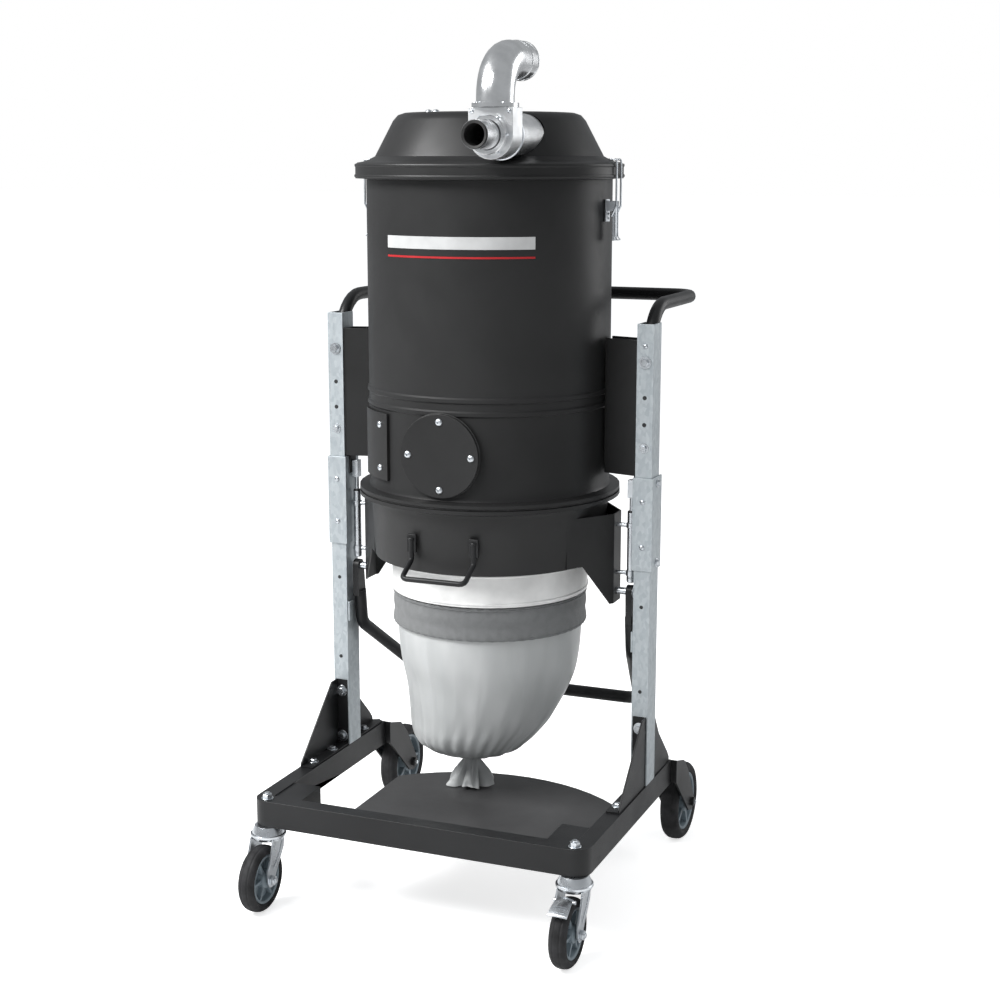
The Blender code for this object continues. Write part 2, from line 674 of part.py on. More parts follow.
def make_head():
    """The intake head at the front of the lid: valve body, duct into the lid and front spigot."""
    front, back = HEAD_Y - HEAD_DEPTH / 2, HEAD_Y + HEAD_DEPTH / 2
    outline = arc((HEAD_X, HEAD_Z), HEAD_HALF_W, 180, 360, 12)
    outline += [(HEAD_X + HEAD_HALF_W, HEAD_TOP), (HEAD_X - HEAD_HALF_W, HEAD_TOP)]
    body = prism("valve_body", outline, "XZ", front, back, "aluminium")
    axis = (HEAD_X, 0, HEAD_Z)
    cut(body, disc("bore", SPIGOT_BORE_R, -front - 0.06, -front + 0.01, "aluminium", axis, (0, -1, 0), 24))
    top = (HEAD_X, HEAD_Y, 0)
    cut(body, disc("port", HEAD_PORT_R, HEAD_Z, HEAD_TOP + 0.01, "aluminium", top, sides=20))
    inner = DUCT_R - SHEET
    duct = ring("lid_duct", inner, DUCT_R, -DUCT_END_Y, -back - GAP, "aluminium", axis, (0, -1, 0), 32)
    foot = -front + GAP
    shape = [(SPIGOT_BORE_R, foot), (SPIGOT_FLANGE_R, foot), (SPIGOT_FLANGE_R, foot + 0.0096)]
    shape += [(SPIGOT_R, foot + 0.0126), (SPIGOT_R, -SPIGOT_TIP_Y), (SPIGOT_BORE_R, -SPIGOT_TIP_Y)]
    spigot = turned("intake_spigot", shape, "aluminium", axis, (0, -1, 0), 28)
    return [body, duct, spigot]


def make_elbow():
    rise = HEAD_TOP + GAP
    corners = [(HEAD_X, HEAD_Y, rise), (HEAD_X, HEAD_Y, ELBOW_Z), (HEAD_X, ELBOW_END_Y, ELBOW_Z)]
    path = rounded_path(corners, ELBOW_BEND, 10)
    elbow = pipe("outlet_elbow", path, ELBOW_R, ELBOW_R - SHEET, "aluminium")
    at = (HEAD_X, HEAD_Y, 0)
    inner, top = ELBOW_R - 0.001, rise + 0.007
    weld(elbow, ring("flange", inner, ELBOW_FLANGE_R, rise, top, "aluminium", at, sides=28))
    return hang("outlet_elbow_axis", (HEAD_X, HEAD_Y, rise), elbow)


def make_latch(side):
    """A toggle latch: base on the drum, lever on the base, wire hook on the lever over the lid's rim."""
    name = f"{side_name(side)}_latch"
    px, pz = LATCH_PIVOT
    hx, hz = HOOK_PIVOT
    start = DRUM_R + 0.0008
    base = side_box(f"{name}_base", side, (start, -0.0105, 1.272), (start + 0.003, 0.0105, 1.312), "zinc")
    for y in (-0.0100, 0.0083):
        ear = side_box("ear", side, (start + 0.002, y, 1.291), (px + 0.004, y + 0.0017, 1.309), "zinc")
        weld(base, ear)
    half = 0.0078
    low, high = (px - 0.0025, -half, pz - 0.062), (px + 0.0025, half, pz + 0.005)
    lever = side_box(f"{name}_lever", side, low, high, "zinc")
    out, top, tip, half = 0.2535, 1.3832, 0.238, 0.0125
    corners = [(hx, -half, hz), (out, -half, pz), (out, -half, top), (tip, -half, top)]
    corners += [(tip, half, top), (out, half, top), (out, half, pz), (hx, half, hz)]
    path = rounded_path([(side * x, y, z) for x, y, z in corners], 0.004, 3)
    hook = rod(f"{name}_hook", path, WIRE_R, "zinc", sides=8)
    swing = hang(f"{name}_lever_axis", (side * px, 0, pz), lever)
    catch = hang(f"{name}_hook_axis", (side * hx, 0, hz), hook)
    catch.parent = swing
    catch.location = Vector((side * hx, 0, hz)) - Vector((side * px, 0, pz))
    return base, swing


# --- Collar, lever, springs and bag --------------------------------------------------------------


def collar_bracket(side):
    """A bent plate on the collar's flank, cut back below, that carries the lever's pivot."""
    path = [(0.196, -0.105), (WING_X, -0.020), (WING_X, 0.020), (0.196, 0.105)]
    plate = prism("bracket", mirrored(strip_outline(path, SHEET), side), "XY", *WING_Z)
    slope = [(0.170, 0.640), (0.170, 0.500), (0.300, 0.500), (0.300, WING_Z[0] + 0.001)]
    slope += [(WING_X - 0.004, WING_Z[0] + 0.001), (0.218, 0.640)]
    return cut(plate, prism("slope", mirrored(slope, side), "XZ", -0.2, 0.2))


def make_collar():
    inner = COLLAR_R - DRUM_WALL
    profile = [(inner, COLLAR_TOP), (0.2505, COLLAR_TOP), (0.2505, COLLAR_TOP - 0.007)]
    profile += [(COLLAR_R + 0.003, COLLAR_TOP - 0.012), (COLLAR_R, COLLAR_TOP - 0.020)]
    profile += [(COLLAR_FOOT_R, COLLAR_BOTTOM), (COLLAR_FOOT_R - DRUM_WALL, COLLAR_BOTTOM)]
    profile += [(inner, COLLAR_TOP - 0.020)]
    collar = turned("hopper_collar", profile, "black_paint")
    weld(collar, collar_bracket(-1), collar_bracket(1))
    gasket = ring("collar_gasket", 0.2285, 0.2480, COLLAR_TOP + GAP, DRUM_BOTTOM - GAP, "seal")
    skin = 0.002
    funnel = [(0.2240, 0.748), (0.1850, 0.650), (0.1850, 0.590), (0.1850 - skin, 0.590)]
    funnel += [(0.1850 - skin, 0.651), (0.2215, 0.748)]
    cone = turned("hopper_cone", funnel, "zinc")
    y = -0.2262
    corners = [(-0.062, y, 0.700), (-0.062, y, 0.662), (-0.062, -0.270, 0.636)]
    corners += [(-x, py, z) for x, py, z in reversed(corners)]
    handle = rod("collar_handle", rounded_path(corners, 0.010, 3), 0.005, "frame_paint")
    return [collar, gasket, cone, handle]


def make_bag_parts():
    band = ring("bag_cassette", 0.1860, 0.1905, BAG_TOP + 0.002, COLLAR_BOTTOM - 0.001, "white_plastic")
    strap = ring("bag_strap", BAG_R + 0.0008, BAG_R + 0.0040, *STRAP_Z, "webbing")
    kx, ky = KNOT_XY

    def ring_at(z, r, share):
        turns = [2 * pi * k / 28 for k in range(28)]
        return [(kx * share + r * cos(t), ky * share + r * sin(t), z) for t in turns]

    outside = [ring_at(*station) for station in BAG_STATIONS]
    inside = [ring_at(BAG_TOP, BAG_R - BAG_FILM, 0)]
    inside += [ring_at(z + BAG_FILM, r - BAG_FILM, share) for z, r, share in BAG_STATIONS[1:]]
    tail = [ring_at(*station) for station in BAG_TAIL]
    bag = loft("collection_bag", inside[::-1] + outside + tail, "bag_film")
    return [band, strap, bag]


def make_spring(side):
    """A gas spring beside the collar: the rod hangs from the drum bracket, the body rides on the collar."""
    name = side_name(side)
    at = (side * SPRING_X, 0, 0)
    low, high = SPRING_Z
    bore = 0.0045
    shape = [(0, low), (SPRING_R, low), (SPRING_R, high), (bore, high), (bore, low + 0.006), (0, low + 0.006)]
    body = turned(f"{name}_spring_body", shape, "zinc", at, sides=16)
    shape = [(0, low + 0.012), (0.004, low + 0.012), (0.004, 0.765), (0, 0.765)]
    stem = turned(f"{name}_spring_rod", shape, "zinc", at, sides=12)
    low, high = (SPRING_X - 0.006, -0.008, 0.763), (SPRING_X + 0.006, 0.008, SPRING_TOP)
    weld(stem, side_box("clevis", side, low, high, "zinc"))
    return stem, body


def make_lever():
    """The U-shaped release lever, pivoted at the foot of both collar brackets."""
    x, y, z = LEVER_BAR
    corners = [(-LEVER_X, 0.006, 0.530), (-LEVER_X, 0.014, 0.460), (-x, y, z)]
    corners += [(-px, py, pz) for px, py, pz in reversed(corners)]
    lever = rod("release_lever", rounded_path(corners, 0.036, 5), LEVER_R, "frame_paint", sides=14)
    for side in (-1, 1):
        x = span(side, LEVER_X - 0.006, LEVER_X + 0.006)
        outline = [(-0.011, 0.520), (0.021, 0.520), (0.013, LEVER_Z)] + arc((0, LEVER_Z), 0.013, 0, 180, 8)
        weld(lever, prism("eye", outline, "YZ", *x))
    return lever


# --- Assembly ------------------------------------------------------------------------------------


def build():
    clear_scene()
    fixed = [make_base_frame(), make_tray(), make_push_handle(), make_drum()]
    axes = [make_elbow(), make_brake_pedal()]
    sliding = make_collar() + make_bag_parts()
    fixed += make_drum_fittings() + make_lid() + make_head()
    for side in (-1, 1):
        stem, body = make_spring(side)
        fixed += [make_gusset(side), make_drum_bracket(side), stem] + make_posts(side)
        sliding.append(body)
        for fixed_piece, axis in (make_caster(side), make_rear_wheel(side), make_latch(side)):
            fixed.append(fixed_piece)
            axes.append(axis)
    pivot = hang("release_lever_axis", (0, 0, LEVER_Z), make_lever())
    collar = hang("collar_slide_axis", (0, 0, COLLAR_TOP), *sliding)
    pivot.parent = collar
    pivot.location = (0, 0, LEVER_Z - COLLAR_TOP)
    machine = bpy.data.objects.new("machine", None)
    bpy.context.scene.collection.objects.link(machine)
    tools = [obj for obj in bpy.data.objects if obj.type == "MESH" and obj.hide_render]
    for obj in fixed + axes + [collar] + tools:
        obj.parent = machine
    machine.location = (0, FOOTPRINT_SHIFT, 0)


build()
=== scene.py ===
"""Looks of the wheeled dust collector: materials for its solids, and the fine pieces that they leave out."""

import json
from math import cos, pi, radians, sin, sqrt, tau

import bmesh
import bpy
from mathutils import Matrix, Vector, noise


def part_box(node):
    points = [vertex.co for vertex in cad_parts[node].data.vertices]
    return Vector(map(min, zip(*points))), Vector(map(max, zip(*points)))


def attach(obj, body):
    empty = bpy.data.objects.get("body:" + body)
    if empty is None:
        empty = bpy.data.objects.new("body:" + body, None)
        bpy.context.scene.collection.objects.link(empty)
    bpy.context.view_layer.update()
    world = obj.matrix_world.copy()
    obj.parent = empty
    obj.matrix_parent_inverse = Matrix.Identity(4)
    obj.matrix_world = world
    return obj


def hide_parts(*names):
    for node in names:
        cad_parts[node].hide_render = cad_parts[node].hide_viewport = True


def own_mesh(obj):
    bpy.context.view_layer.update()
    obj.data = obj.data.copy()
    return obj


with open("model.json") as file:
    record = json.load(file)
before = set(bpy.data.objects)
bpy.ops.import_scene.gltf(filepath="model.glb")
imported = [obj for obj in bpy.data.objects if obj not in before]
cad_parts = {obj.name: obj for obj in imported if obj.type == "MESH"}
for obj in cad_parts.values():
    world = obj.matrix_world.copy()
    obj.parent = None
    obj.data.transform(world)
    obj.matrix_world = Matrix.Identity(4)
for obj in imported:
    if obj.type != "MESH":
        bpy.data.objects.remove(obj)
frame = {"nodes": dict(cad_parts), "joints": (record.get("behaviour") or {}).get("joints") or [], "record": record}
NODES = frame["nodes"]
JOINTS = {joint["name"]: joint for joint in frame["joints"]}
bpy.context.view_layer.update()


def centre(node):
    low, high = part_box(node)
    return (low + high) / 2


def pivot(joint):
    return Vector(JOINTS[joint]["pos_m"])


AXIS = centre("drum_shell")
UP = Vector((0, 0, 1))
FRONT = Vector((0, -1, 0))
SIDES = {"left": -1, "right": 1}

# Metres. Azimuths are degrees from the front of the drum towards +X.
DRUM_R = 0.230
LABEL_AZIMUTHS = (-30, 43)
LABEL_BAND_Z = (1.228, 1.250)
LABEL_LINE_Z = (1.2120, 1.2155)
LABEL_THICKNESS = 0.0003
COVER_BOLT_CIRCLE_R = 0.062
COVER_SEAL_R = 0.0765
SIDE_PLATE_AZIMUTH = -37.5
SIDE_PLATE_THICKNESS = 0.0055
SIDE_PLATE_BOLT_Z = (0.822, 0.903)
SEAM_AZIMUTHS = (178.6, 181.4)
SEAM_Z = (0.970, 1.344)
LID_RIM_R = 0.2502
LID_STUD_CIRCLE_R = 0.150
LID_STUD_AZIMUTHS = (-24, -17, 150)
UNION_LUGS = 6
UNION_LUG_R = 0.0326
HEAD_SCREW_X = 0.0345
ELBOW_PIPE_R = 0.033
ELBOW_SCREW_CIRCLE_R = 0.0368
LATCH_PLATE_X = DRUM_R + 0.0038
LATCH_LEVER_X = 0.2500
LATCH_LEVER_HALF_WIDTH = 0.0078
LATCH_RIM_WIRE_R = 0.0011
UPPER_POST_BOLTS = ((1.020, 0.013, 0.0052, 0.0016), (0.862, 0.010, 0.0040, 0.0012))  # z, across, head, washer
UPPER_POST_STUD_Z = 1.050
UPPER_POST_HOLE_Z = (0.905, 0.955)
LOWER_POST_HOLE_Z = (0.395, 0.560)
GUSSET_BOLT_Z = (0.322, 0.226)
GUSSET_FOOT_BOLT_Y = (-0.150, -0.070, 0.070)
GUSSET_SHEET = 0.003
POST_FRONT_Y = -0.0245
LEVER_STOP_Z = (0.470, 0.510)
SPRING_TOP_PIN_Z = 0.788
SPRING_TOP_PIN_X = 0.2975
STEM_NUT_X = 0.306
TRAY_SCREWS = ((-0.120, 0.030), (0.060, 0.030), (0.220, 0.030), (0.275, 0.180), (0.275, 0.270))
CASTER_WHEEL_R = 0.0625
CASTER_SPOKES = 6
REAR_WHEEL_R = 0.080
REAR_SPOKES = 5
FORK_FACE_X = 0.0245
PEDAL_SHEET = 0.0018
PEDAL_PIN_Z = 0.1275
COLLAR_WALL_Y = -0.2262
WING_FACE_X = 0.2607
LEVER_INNER_X = 0.2813
LEVER_BOLT_X = 0.2935
SPRING_CLAMP_Z = (0.016, 0.108)
BAG_FOOT = 0.166
BAG_MOUTH_R = 0.1835
KNOT = Vector((-0.026, AXIS.y - 0.030, 0.222))
BAG_STATIONS = (
    # height, radius, share of the way from the axis to the knot
    (0.505, 0.1835, 0), (0.443, 0.178, 0), (0.387, 0.166, 0.05), (0.322, 0.145, 0.46), (0.290, 0.130, 0.8),
    (0.266, 0.112, 1), (0.250, 0.090, 1), (0.238, 0.060, 1), (0.230, 0.034, 1), (0.224, 0.0125, 1),
)
STRAP_INNER_R = 0.1838
STRAP_OUTER_R = 0.1872
STRAP_PUCKERS = 61
CASSETTE_R = 0.1905


# --- Materials -----------------------------------------------------------------------------------


class Shader:
    """A Principled material whose textures are in metres, in the part's own frame."""

    def __init__(self, name, colour, roughness, metallic=0.0, **sockets):
        self.material = bpy.data.materials.new(name)
        self.material.use_nodes = True
        self.tree = self.material.node_tree
        self.bsdf = self.tree.nodes["Principled BSDF"]
        self.bsdf.inputs["Base Color"].default_value = (*colour, 1)
        self.bsdf.inputs["Roughness"].default_value = roughness
        self.bsdf.inputs["Metallic"].default_value = metallic
        for socket, value in sockets.items():
            self.bsdf.inputs[socket.replace("_", " ")].default_value = value
        self.place = self.node("ShaderNodeTexCoord").outputs["Object"]
        self.height = None

    def node(self, kind, **settings):
        made = self.tree.nodes.new(kind)
        for key, value in settings.items():
            setattr(made, key, value)
        return made

    def link(self, source, target):
        self.tree.links.new(source, target)

    def stretched(self, scale):
        mapping = self.node("ShaderNodeMapping")
        mapping.inputs["Scale"].default_value = scale
        self.link(self.place, mapping.inputs["Vector"])
        return mapping.outputs["Vector"]

    def noise(self, scale, detail=3.0, stretch=None, distortion=0.0):
        made = self.node("ShaderNodeTexNoise")
        made.inputs["Scale"].default_value = scale
        made.inputs["Detail"].default_value = detail
        made.inputs["Distortion"].default_value = distortion
        self.link(self.stretched(stretch) if stretch else self.place, made.inputs["Vector"])
        return made.outputs["Fac"]

    def cells(self, scale, output="Color", stretch=None):
        made = self.node("ShaderNodeTexVoronoi")
        made.inputs["Scale"].default_value = scale
        self.link(self.stretched(stretch) if stretch else self.place, made.inputs["Vector"])
        return made.outputs[output]

    def weave(self, scale, direction):
        made = self.node("ShaderNodeTexWave", wave_type="BANDS", bands_direction=direction)
        made.inputs["Scale"].default_value = scale
        self.link(self.place, made.inputs["Vector"])
        return made.outputs["Fac"]

    def spread(self, source, low, high, from_low=0.3, from_high=0.7):
        made = self.node("ShaderNodeMapRange")
        limits = {"From Min": from_low, "From Max": from_high, "To Min": low, "To Max": high}
        for socket, value in limits.items():
            made.inputs[socket].default_value = value
        self.link(source, made.inputs["Value"])
        return made.outputs["Result"]

    def tint(self, source, dark, light, low=0.35, high=0.65):
        """The base colour runs between two colours with a texture."""
        ramp = self.node("ShaderNodeValToRGB")
        ramp.color_ramp.elements[0].position = low
        ramp.color_ramp.elements[0].color = (*dark, 1)
        ramp.color_ramp.elements[1].position = high
        ramp.color_ramp.elements[1].color = (*light, 1)
        self.link(source, ramp.inputs["Fac"])
        self.link(ramp.outputs["Color"], self.bsdf.inputs["Base Color"])
        return self

    def rough(self, source, low, high):
        self.link(self.spread(source, low, high), self.bsdf.inputs["Roughness"])
        return self

    def bump(self, source, strength, depth):
        made = self.node("ShaderNodeBump")
        made.inputs["Strength"].default_value = strength
        made.inputs["Distance"].default_value = depth
        self.link(source, made.inputs["Height"])
        if self.height:
            self.link(self.height, made.inputs["Normal"])
        self.height = made.outputs["Normal"]
        self.link(self.height, self.bsdf.inputs["Normal"])
        return self


def scaled(colour, by):
    return tuple(c * by for c in colour)


def powder_coat(name, colour, roughness):
    """Baked powder paint: a fine grain, broad patches of duller sheen and a little dust."""
    made = Shader(name, colour, roughness, Specular_IOR_Level=0.34)
    made.tint(made.noise(5.0, 4.0), scaled(colour, 0.82), scaled(colour, 1.22))
    made.rough(made.noise(9.0, 3.0), roughness - 0.05, roughness + 0.07)
    made.bump(made.noise(1400.0, 2.0), 0.22, 0.0003)
    return made.bump(made.cells(620.0, "Distance"), 0.10, 0.0002).material


def galvanised(name):
    """Zinc-coated sheet with faint crystal spangle and drawing lines along its length."""
    made = Shader(name, (0.45, 0.49, 0.515), 0.42, 0.55)
    spangle = made.cells(190.0, "Color", (1.0, 1.0, 0.55))
    made.tint(spangle, (0.40, 0.44, 0.465), (0.49, 0.53, 0.55), 0.15, 0.85)
    made.rough(made.noise(60.0, 4.0, (1.0, 1.0, 0.2)), 0.38, 0.52)
    return made.bump(made.noise(500.0, 2.0, (1.0, 1.0, 0.08)), 0.15, 0.0002).material


def bright_metal(name, colour, low, high, grain=300.0, stretch=None, strength=0.08):
    made = Shader(name, colour, (low + high) / 2, 1.0)
    made.tint(made.noise(40.0, 3.0), scaled(colour, 0.90), scaled(colour, 1.05))
    made.rough(made.noise(25.0, 4.0), low, high)
    return made.bump(made.noise(grain, 3.0, stretch), strength, 0.0002).material


def rubber(name, colour):
    made = Shader(name, colour, 0.72, Specular_IOR_Level=0.35)
    made.tint(made.noise(35.0, 5.0), scaled(colour, 0.75), scaled(colour, 1.9))
    made.rough(made.noise(80.0), 0.60, 0.82)
    return made.bump(made.noise(900.0, 2.0), 0.25, 0.0003).material


def moulded(name, colour, roughness):
    made = Shader(name, colour, roughness, Specular_IOR_Level=0.45)
    made.tint(made.noise(18.0), scaled(colour, 0.90), scaled(colour, 1.08))
    made.rough(made.noise(30.0), roughness - 0.06, roughness + 0.06)
    return made.bump(made.noise(1100.0, 2.0), 0.10, 0.0002).material


def film(name):
    """Milky plastic film, creased where it is gathered."""
    made = Shader(name, (0.43, 0.445, 0.445), 0.38, Transmission_Weight=0.06, IOR=1.4, Coat_Weight=0.15,
                  Coat_Roughness=0.30)
    made.tint(made.noise(9.0, 3.0, (1.0, 1.0, 0.35)), (0.45, 0.465, 0.465), (0.58, 0.59, 0.59))
    made.rough(made.noise(20.0), 0.32, 0.46)
    made.bump(made.noise(16.0, 3.0, (1.0, 1.0, 0.30), 0.4), 0.35, 0.005)
    return made.bump(made.noise(90.0, 3.0, (1.0, 1.0, 0.4)), 0.15, 0.0008).material


def woven(name, colour, scale):
    made = Shader(name, colour, 0.85, Sheen_Weight=0.15)
    made.tint(made.noise(70.0), scaled(colour, 0.94), scaled(colour, 1.06))
    made.bump(made.weave(scale, "Z"), 0.3, 0.0004)
    return made.bump(made.weave(scale, "DIAGONAL"), 0.2, 0.0003).material


LOOKS = {
    "black_paint": powder_coat("satin_black_paint", (0.0150, 0.0150, 0.0152), 0.42),
    "frame_paint": powder_coat("frame_black_paint", (0.0105, 0.0108, 0.0115), 0.38),
    "tray_paint": powder_coat("tray_dark_paint", (0.052, 0.052, 0.053), 0.48),
    "galvanised": galvanised("galvanised_sheet"),
    "zinc": bright_metal("bright_zinc", (0.66, 0.69, 0.72), 0.22, 0.38),
    "aluminium": bright_metal("polished_aluminium", (0.83, 0.84, 0.85), 0.16, 0.27, 160.0, strength=0.05),
    "cast": bright_metal("cast_aluminium", (0.78, 0.79, 0.80), 0.28, 0.40, 700.0, strength=0.16),
    "tyre_rubber": rubber("tyre_rubber", (0.013, 0.013, 0.014)),
    "seal_rubber": rubber("seal_rubber", (0.020, 0.020, 0.020)),
    "hub_plastic": moulded("hub_plastic", (0.21, 0.255, 0.285), 0.42),
    "black_plastic": moulded("black_plastic", (0.018, 0.018, 0.019), 0.45),
    "white_plastic": moulded("white_plastic", (0.83, 0.83, 0.82), 0.38),
    "bag_film": film("bag_film"),
    "webbing": woven("grey_webbing", (0.175, 0.180, 0.182), 480.0),
    "filter_felt": woven("filter_felt", (0.72, 0.71, 0.67), 300.0),
    "label_white": moulded("label_white", (0.50, 0.505, 0.505), 0.45),
    "label_red": moulded("label_red", (0.42, 0.012, 0.016), 0.45),
}


# --- Mesh helpers --------------------------------------------------------------------------------


def in_scene(name, data):
    obj = bpy.data.objects.new(name, data)
    bpy.context.scene.collection.objects.link(obj)
    return obj


def piece(name, bm, look, body, sharp=35.0):
    """A finished piece from a bmesh in the part's frame, riding on a body."""
    bmesh.ops.remove_doubles(bm, verts=bm.verts, dist=1e-7)
    bmesh.ops.recalc_face_normals(bm, faces=bm.faces)
    mesh = bpy.data.meshes.new(name)
    bm.to_mesh(mesh)
    bm.free()
    mesh.materials.append(LOOKS[look])
    mesh.shade_smooth()
    mesh.set_sharp_from_angle(angle=radians(sharp))
    obj = in_scene(name, mesh)
    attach(obj, body)
    return obj


def bevelled(obj, width):
    step = obj.modifiers.new("edges", "BEVEL")
    step.width = width
    step.segments = 2
    step.limit_method = "ANGLE"
    step.angle_limit = radians(35.0)
    return obj


def facing(at, direction):
    """A frame at a point whose +Z looks along the direction."""
    turn = UP.rotation_difference(Vector(direction).normalized()).to_matrix().to_4x4()
    return Matrix.Translation(Vector(at)) @ turn


def turned(bm, profile, at, direction=UP, sides=48, closed=False):
    """Adds a profile of (radius, height) points spun about an axis. It is capped where it meets the axis."""
    place = facing(at, direction)
    rings = []
    for r, h in profile:
        if r < 1e-7:
            rings.append([bm.verts.new(place @ Vector((0, 0, h)))])
            continue
        turns = [tau * k / sides for k in range(sides)]
        rings.append([bm.verts.new(place @ Vector((r * cos(t), r * sin(t), h))) for t in turns])
    pairs = list(zip(rings, rings[1:]))
    if closed:
        pairs.append((rings[-1], rings[0]))
    for low, high in pairs:
        for k in range(sides):
            j = (k + 1) % sides
            corners = [low[k % len(low)], low[j % len(low)], high[j % len(high)], high[k % len(high)]]
            corners = list(dict.fromkeys(corners))
            if len(corners) > 2:
                bm.faces.new(corners)
    return bm


def solid_turned(bm, profile, at, direction=UP, sides=48):
    """A spun profile with flat ends on the axis."""
    ends = [(0, profile[0][1])] + list(profile) + [(0, profile[-1][1])]
    return turned(bm, ends, at, direction, sides)


def block(bm, low, high):
    size = Vector(high) - Vector(low)
    middle = (Vector(high) + Vector(low)) / 2
    bmesh.ops.create_cube(bm, size=1, matrix=Matrix.Translation(middle) @ Matrix.Diagonal((*size, 1)))
    return bm


def smooth_points(points, per_span=8):
    """A Catmull-Rom curve through the points."""
    points = [Vector(p) for p in points]
    padded = [points[0] * 2 - points[1]] + points + [points[-1] * 2 - points[-2]]
    path = []
    for a, b, c, d in zip(padded, padded[1:], padded[2:], padded[3:]):
        for i in range(per_span):
            t = i / per_span
            square = (2 * a - 5 * b + 4 * c - d) * t * t
            path.append(0.5 * (2 * b + (c - a) * t + square + (3 * b - a - 3 * c + d) * t**3))
    return path + [points[-1]]


def tube(bm, path, radius, sides=8):
    """Adds a round bar with flat ends along a path."""
    path = [Vector(p) for p in path]
    ahead = [(b - a).normalized() for a, b in zip(path, path[1:])]
    tangents = [ahead[0]] + [(a + b).normalized() for a, b in zip(ahead, ahead[1:])] + [ahead[-1]]
    side = tangents[0].orthogonal().normalized()
    rings = []
    for i, (point, tangent) in enumerate(zip(path, tangents)):
        if i:
            side = tangents[i - 1].rotation_difference(tangent) @ side
        other = tangent.cross(side)
        turns = [tau * k / sides for k in range(sides)]
        rings.append([bm.verts.new(point + (side * cos(t) + other * sin(t)) * radius) for t in turns])
    for low, high in zip(rings, rings[1:]):
        for k in range(sides):
            j = (k + 1) % sides
            bm.faces.new((low[k], low[j], high[j], high[k]))
    bm.faces.new(rings[0])
    bm.faces.new(rings[-1])
    return bm


def bead_profile(radius, height, reach, rise, points=10):
    """The closed oval section of a round bead, as (radius, height) points about its middle."""
    turns = [tau * i / points for i in range(points)]
    return [(radius + reach * cos(a), height + rise * sin(a)) for a in turns]


def hex_bolt(bm, at, direction, across=0.013, head=0.0055, washer=0.0022):
    """A washer and a chamfered hexagon head standing on a surface."""
    corner = across / sqrt(3)
    rim = across * 0.90
    disc = [(rim - 0.0004, 0), (rim, 0.0004), (rim, washer - 0.0004), (rim - 0.0004, washer)]
    solid_turned(bm, disc, at, direction, 28)
    top = washer + head
    outline = [(corner, washer), (corner, top - 0.0010), (corner * 0.86, top)]
    solid_turned(bm, outline, at, direction, 6)
    return bm


def dome_bolt(bm, at, direction, r=0.0075, height=0.0042):
    """A button head with a hexagon socket."""
    curve = [(r * cos(a), height * sin(a)) for a in [radians(d) for d in (0, 15, 30, 45, 60, 70)]]
    socket = r * 0.36
    profile = [(r * 1.0, 0)] + curve + [(socket, height), (socket, height * 0.45), (0, height * 0.45)]
    return turned(bm, [(0, 0)] + profile, at, direction, 24)


def nut(bm, at, direction, across=0.013, height=0.006, thread=0.003):
    """A hexagon nut with the end of its bolt standing out."""
    corner = across / sqrt(3)
    body = [(corner * 0.9, 0), (corner, 0.0008), (corner, height - 0.0008), (corner * 0.88, height)]
    solid_turned(bm, body, at, direction, 6)
    core = across * 0.29
    end = [(core, height - 0.001), (core, height + thread - 0.0006), (core * 0.8, height + thread)]
    solid_turned(bm, end, at, direction, 16)
    return bm


def round_the(azimuth, radius, z):
    """A point on the drum's wall and the way out there; azimuth in degrees from the front towards +X."""
    turn = radians(azimuth)
    out = Vector((sin(turn), -cos(turn), 0))
    return Vector((AXIS.x, AXIS.y, z)) + out * radius, out


def curved_strip(bm, inner, outer, azimuths, heights, steps):
    """A patch that follows the drum's wall."""
    start, end = azimuths
    low, high = heights
    loops = []
    for i in range(steps + 1):
        azimuth = start + (end - start) * i / steps
        inside, out = round_the(azimuth, inner, low)
        outside = inside + out * (outer - inner)
        rise = UP * (high - low)
        loops.append([bm.verts.new(p) for p in (inside, outside, outside + rise, inside + rise)])
    for a, b in zip(loops, loops[1:]):
        for k in range(4):
            j = (k + 1) % 4
            bm.faces.new((a[k], a[j], b[j], b[k]))
    bm.faces.new(loops[0])
    bm.faces.new(loops[-1])
    return bm


# --- Solids that stay as they are ----------------------------------------------------------------


def smoothing_group(angle):
    """Geometry nodes that join a solid's split corners and shade its round faces smooth."""
    tree = bpy.data.node_groups.new("smooth_round_faces", "GeometryNodeTree")
    tree.interface.new_socket("Geometry", in_out="INPUT", socket_type="NodeSocketGeometry")
    tree.interface.new_socket("Geometry", in_out="OUTPUT", socket_type="NodeSocketGeometry")
    start = tree.nodes.new("NodeGroupInput")
    merge = tree.nodes.new("GeometryNodeMergeByDistance")
    merge.inputs["Distance"].default_value = 1e-6
    smooth = tree.nodes.new("GeometryNodeSetShadeSmooth")
    edges = tree.nodes.new("GeometryNodeInputMeshEdgeAngle")
    steep = tree.nodes.new("FunctionNodeCompare")
    steep.operation = "GREATER_THAN"
    steep.inputs[1].default_value = radians(angle)
    sharp = tree.nodes.new("GeometryNodeSetShadeSmooth")
    sharp.domain = "EDGE"
    sharp.inputs["Shade Smooth"].default_value = False
    end = tree.nodes.new("NodeGroupOutput")
    tree.links.new(start.outputs[0], merge.inputs["Geometry"])
    tree.links.new(merge.outputs["Geometry"], smooth.inputs["Geometry"])
    tree.links.new(edges.outputs["Unsigned Angle"], steep.inputs[0])
    tree.links.new(steep.outputs[0], sharp.inputs["Selection"])
    tree.links.new(smooth.outputs["Geometry"], sharp.inputs["Geometry"])
    tree.links.new(sharp.outputs["Geometry"], end.inputs[0])
    return tree


SPECIAL_LOOKS = {"collection_tray": "tray_paint", "valve_body": "cast"}
ROUND_NODES = (
    "drum_shell", "lid", "hopper_collar", "outlet_elbow", "intake_spigot", "lid_duct", "filter_element",
    "hopper_cone", "push_handle", "release_lever", "collar_handle",
)


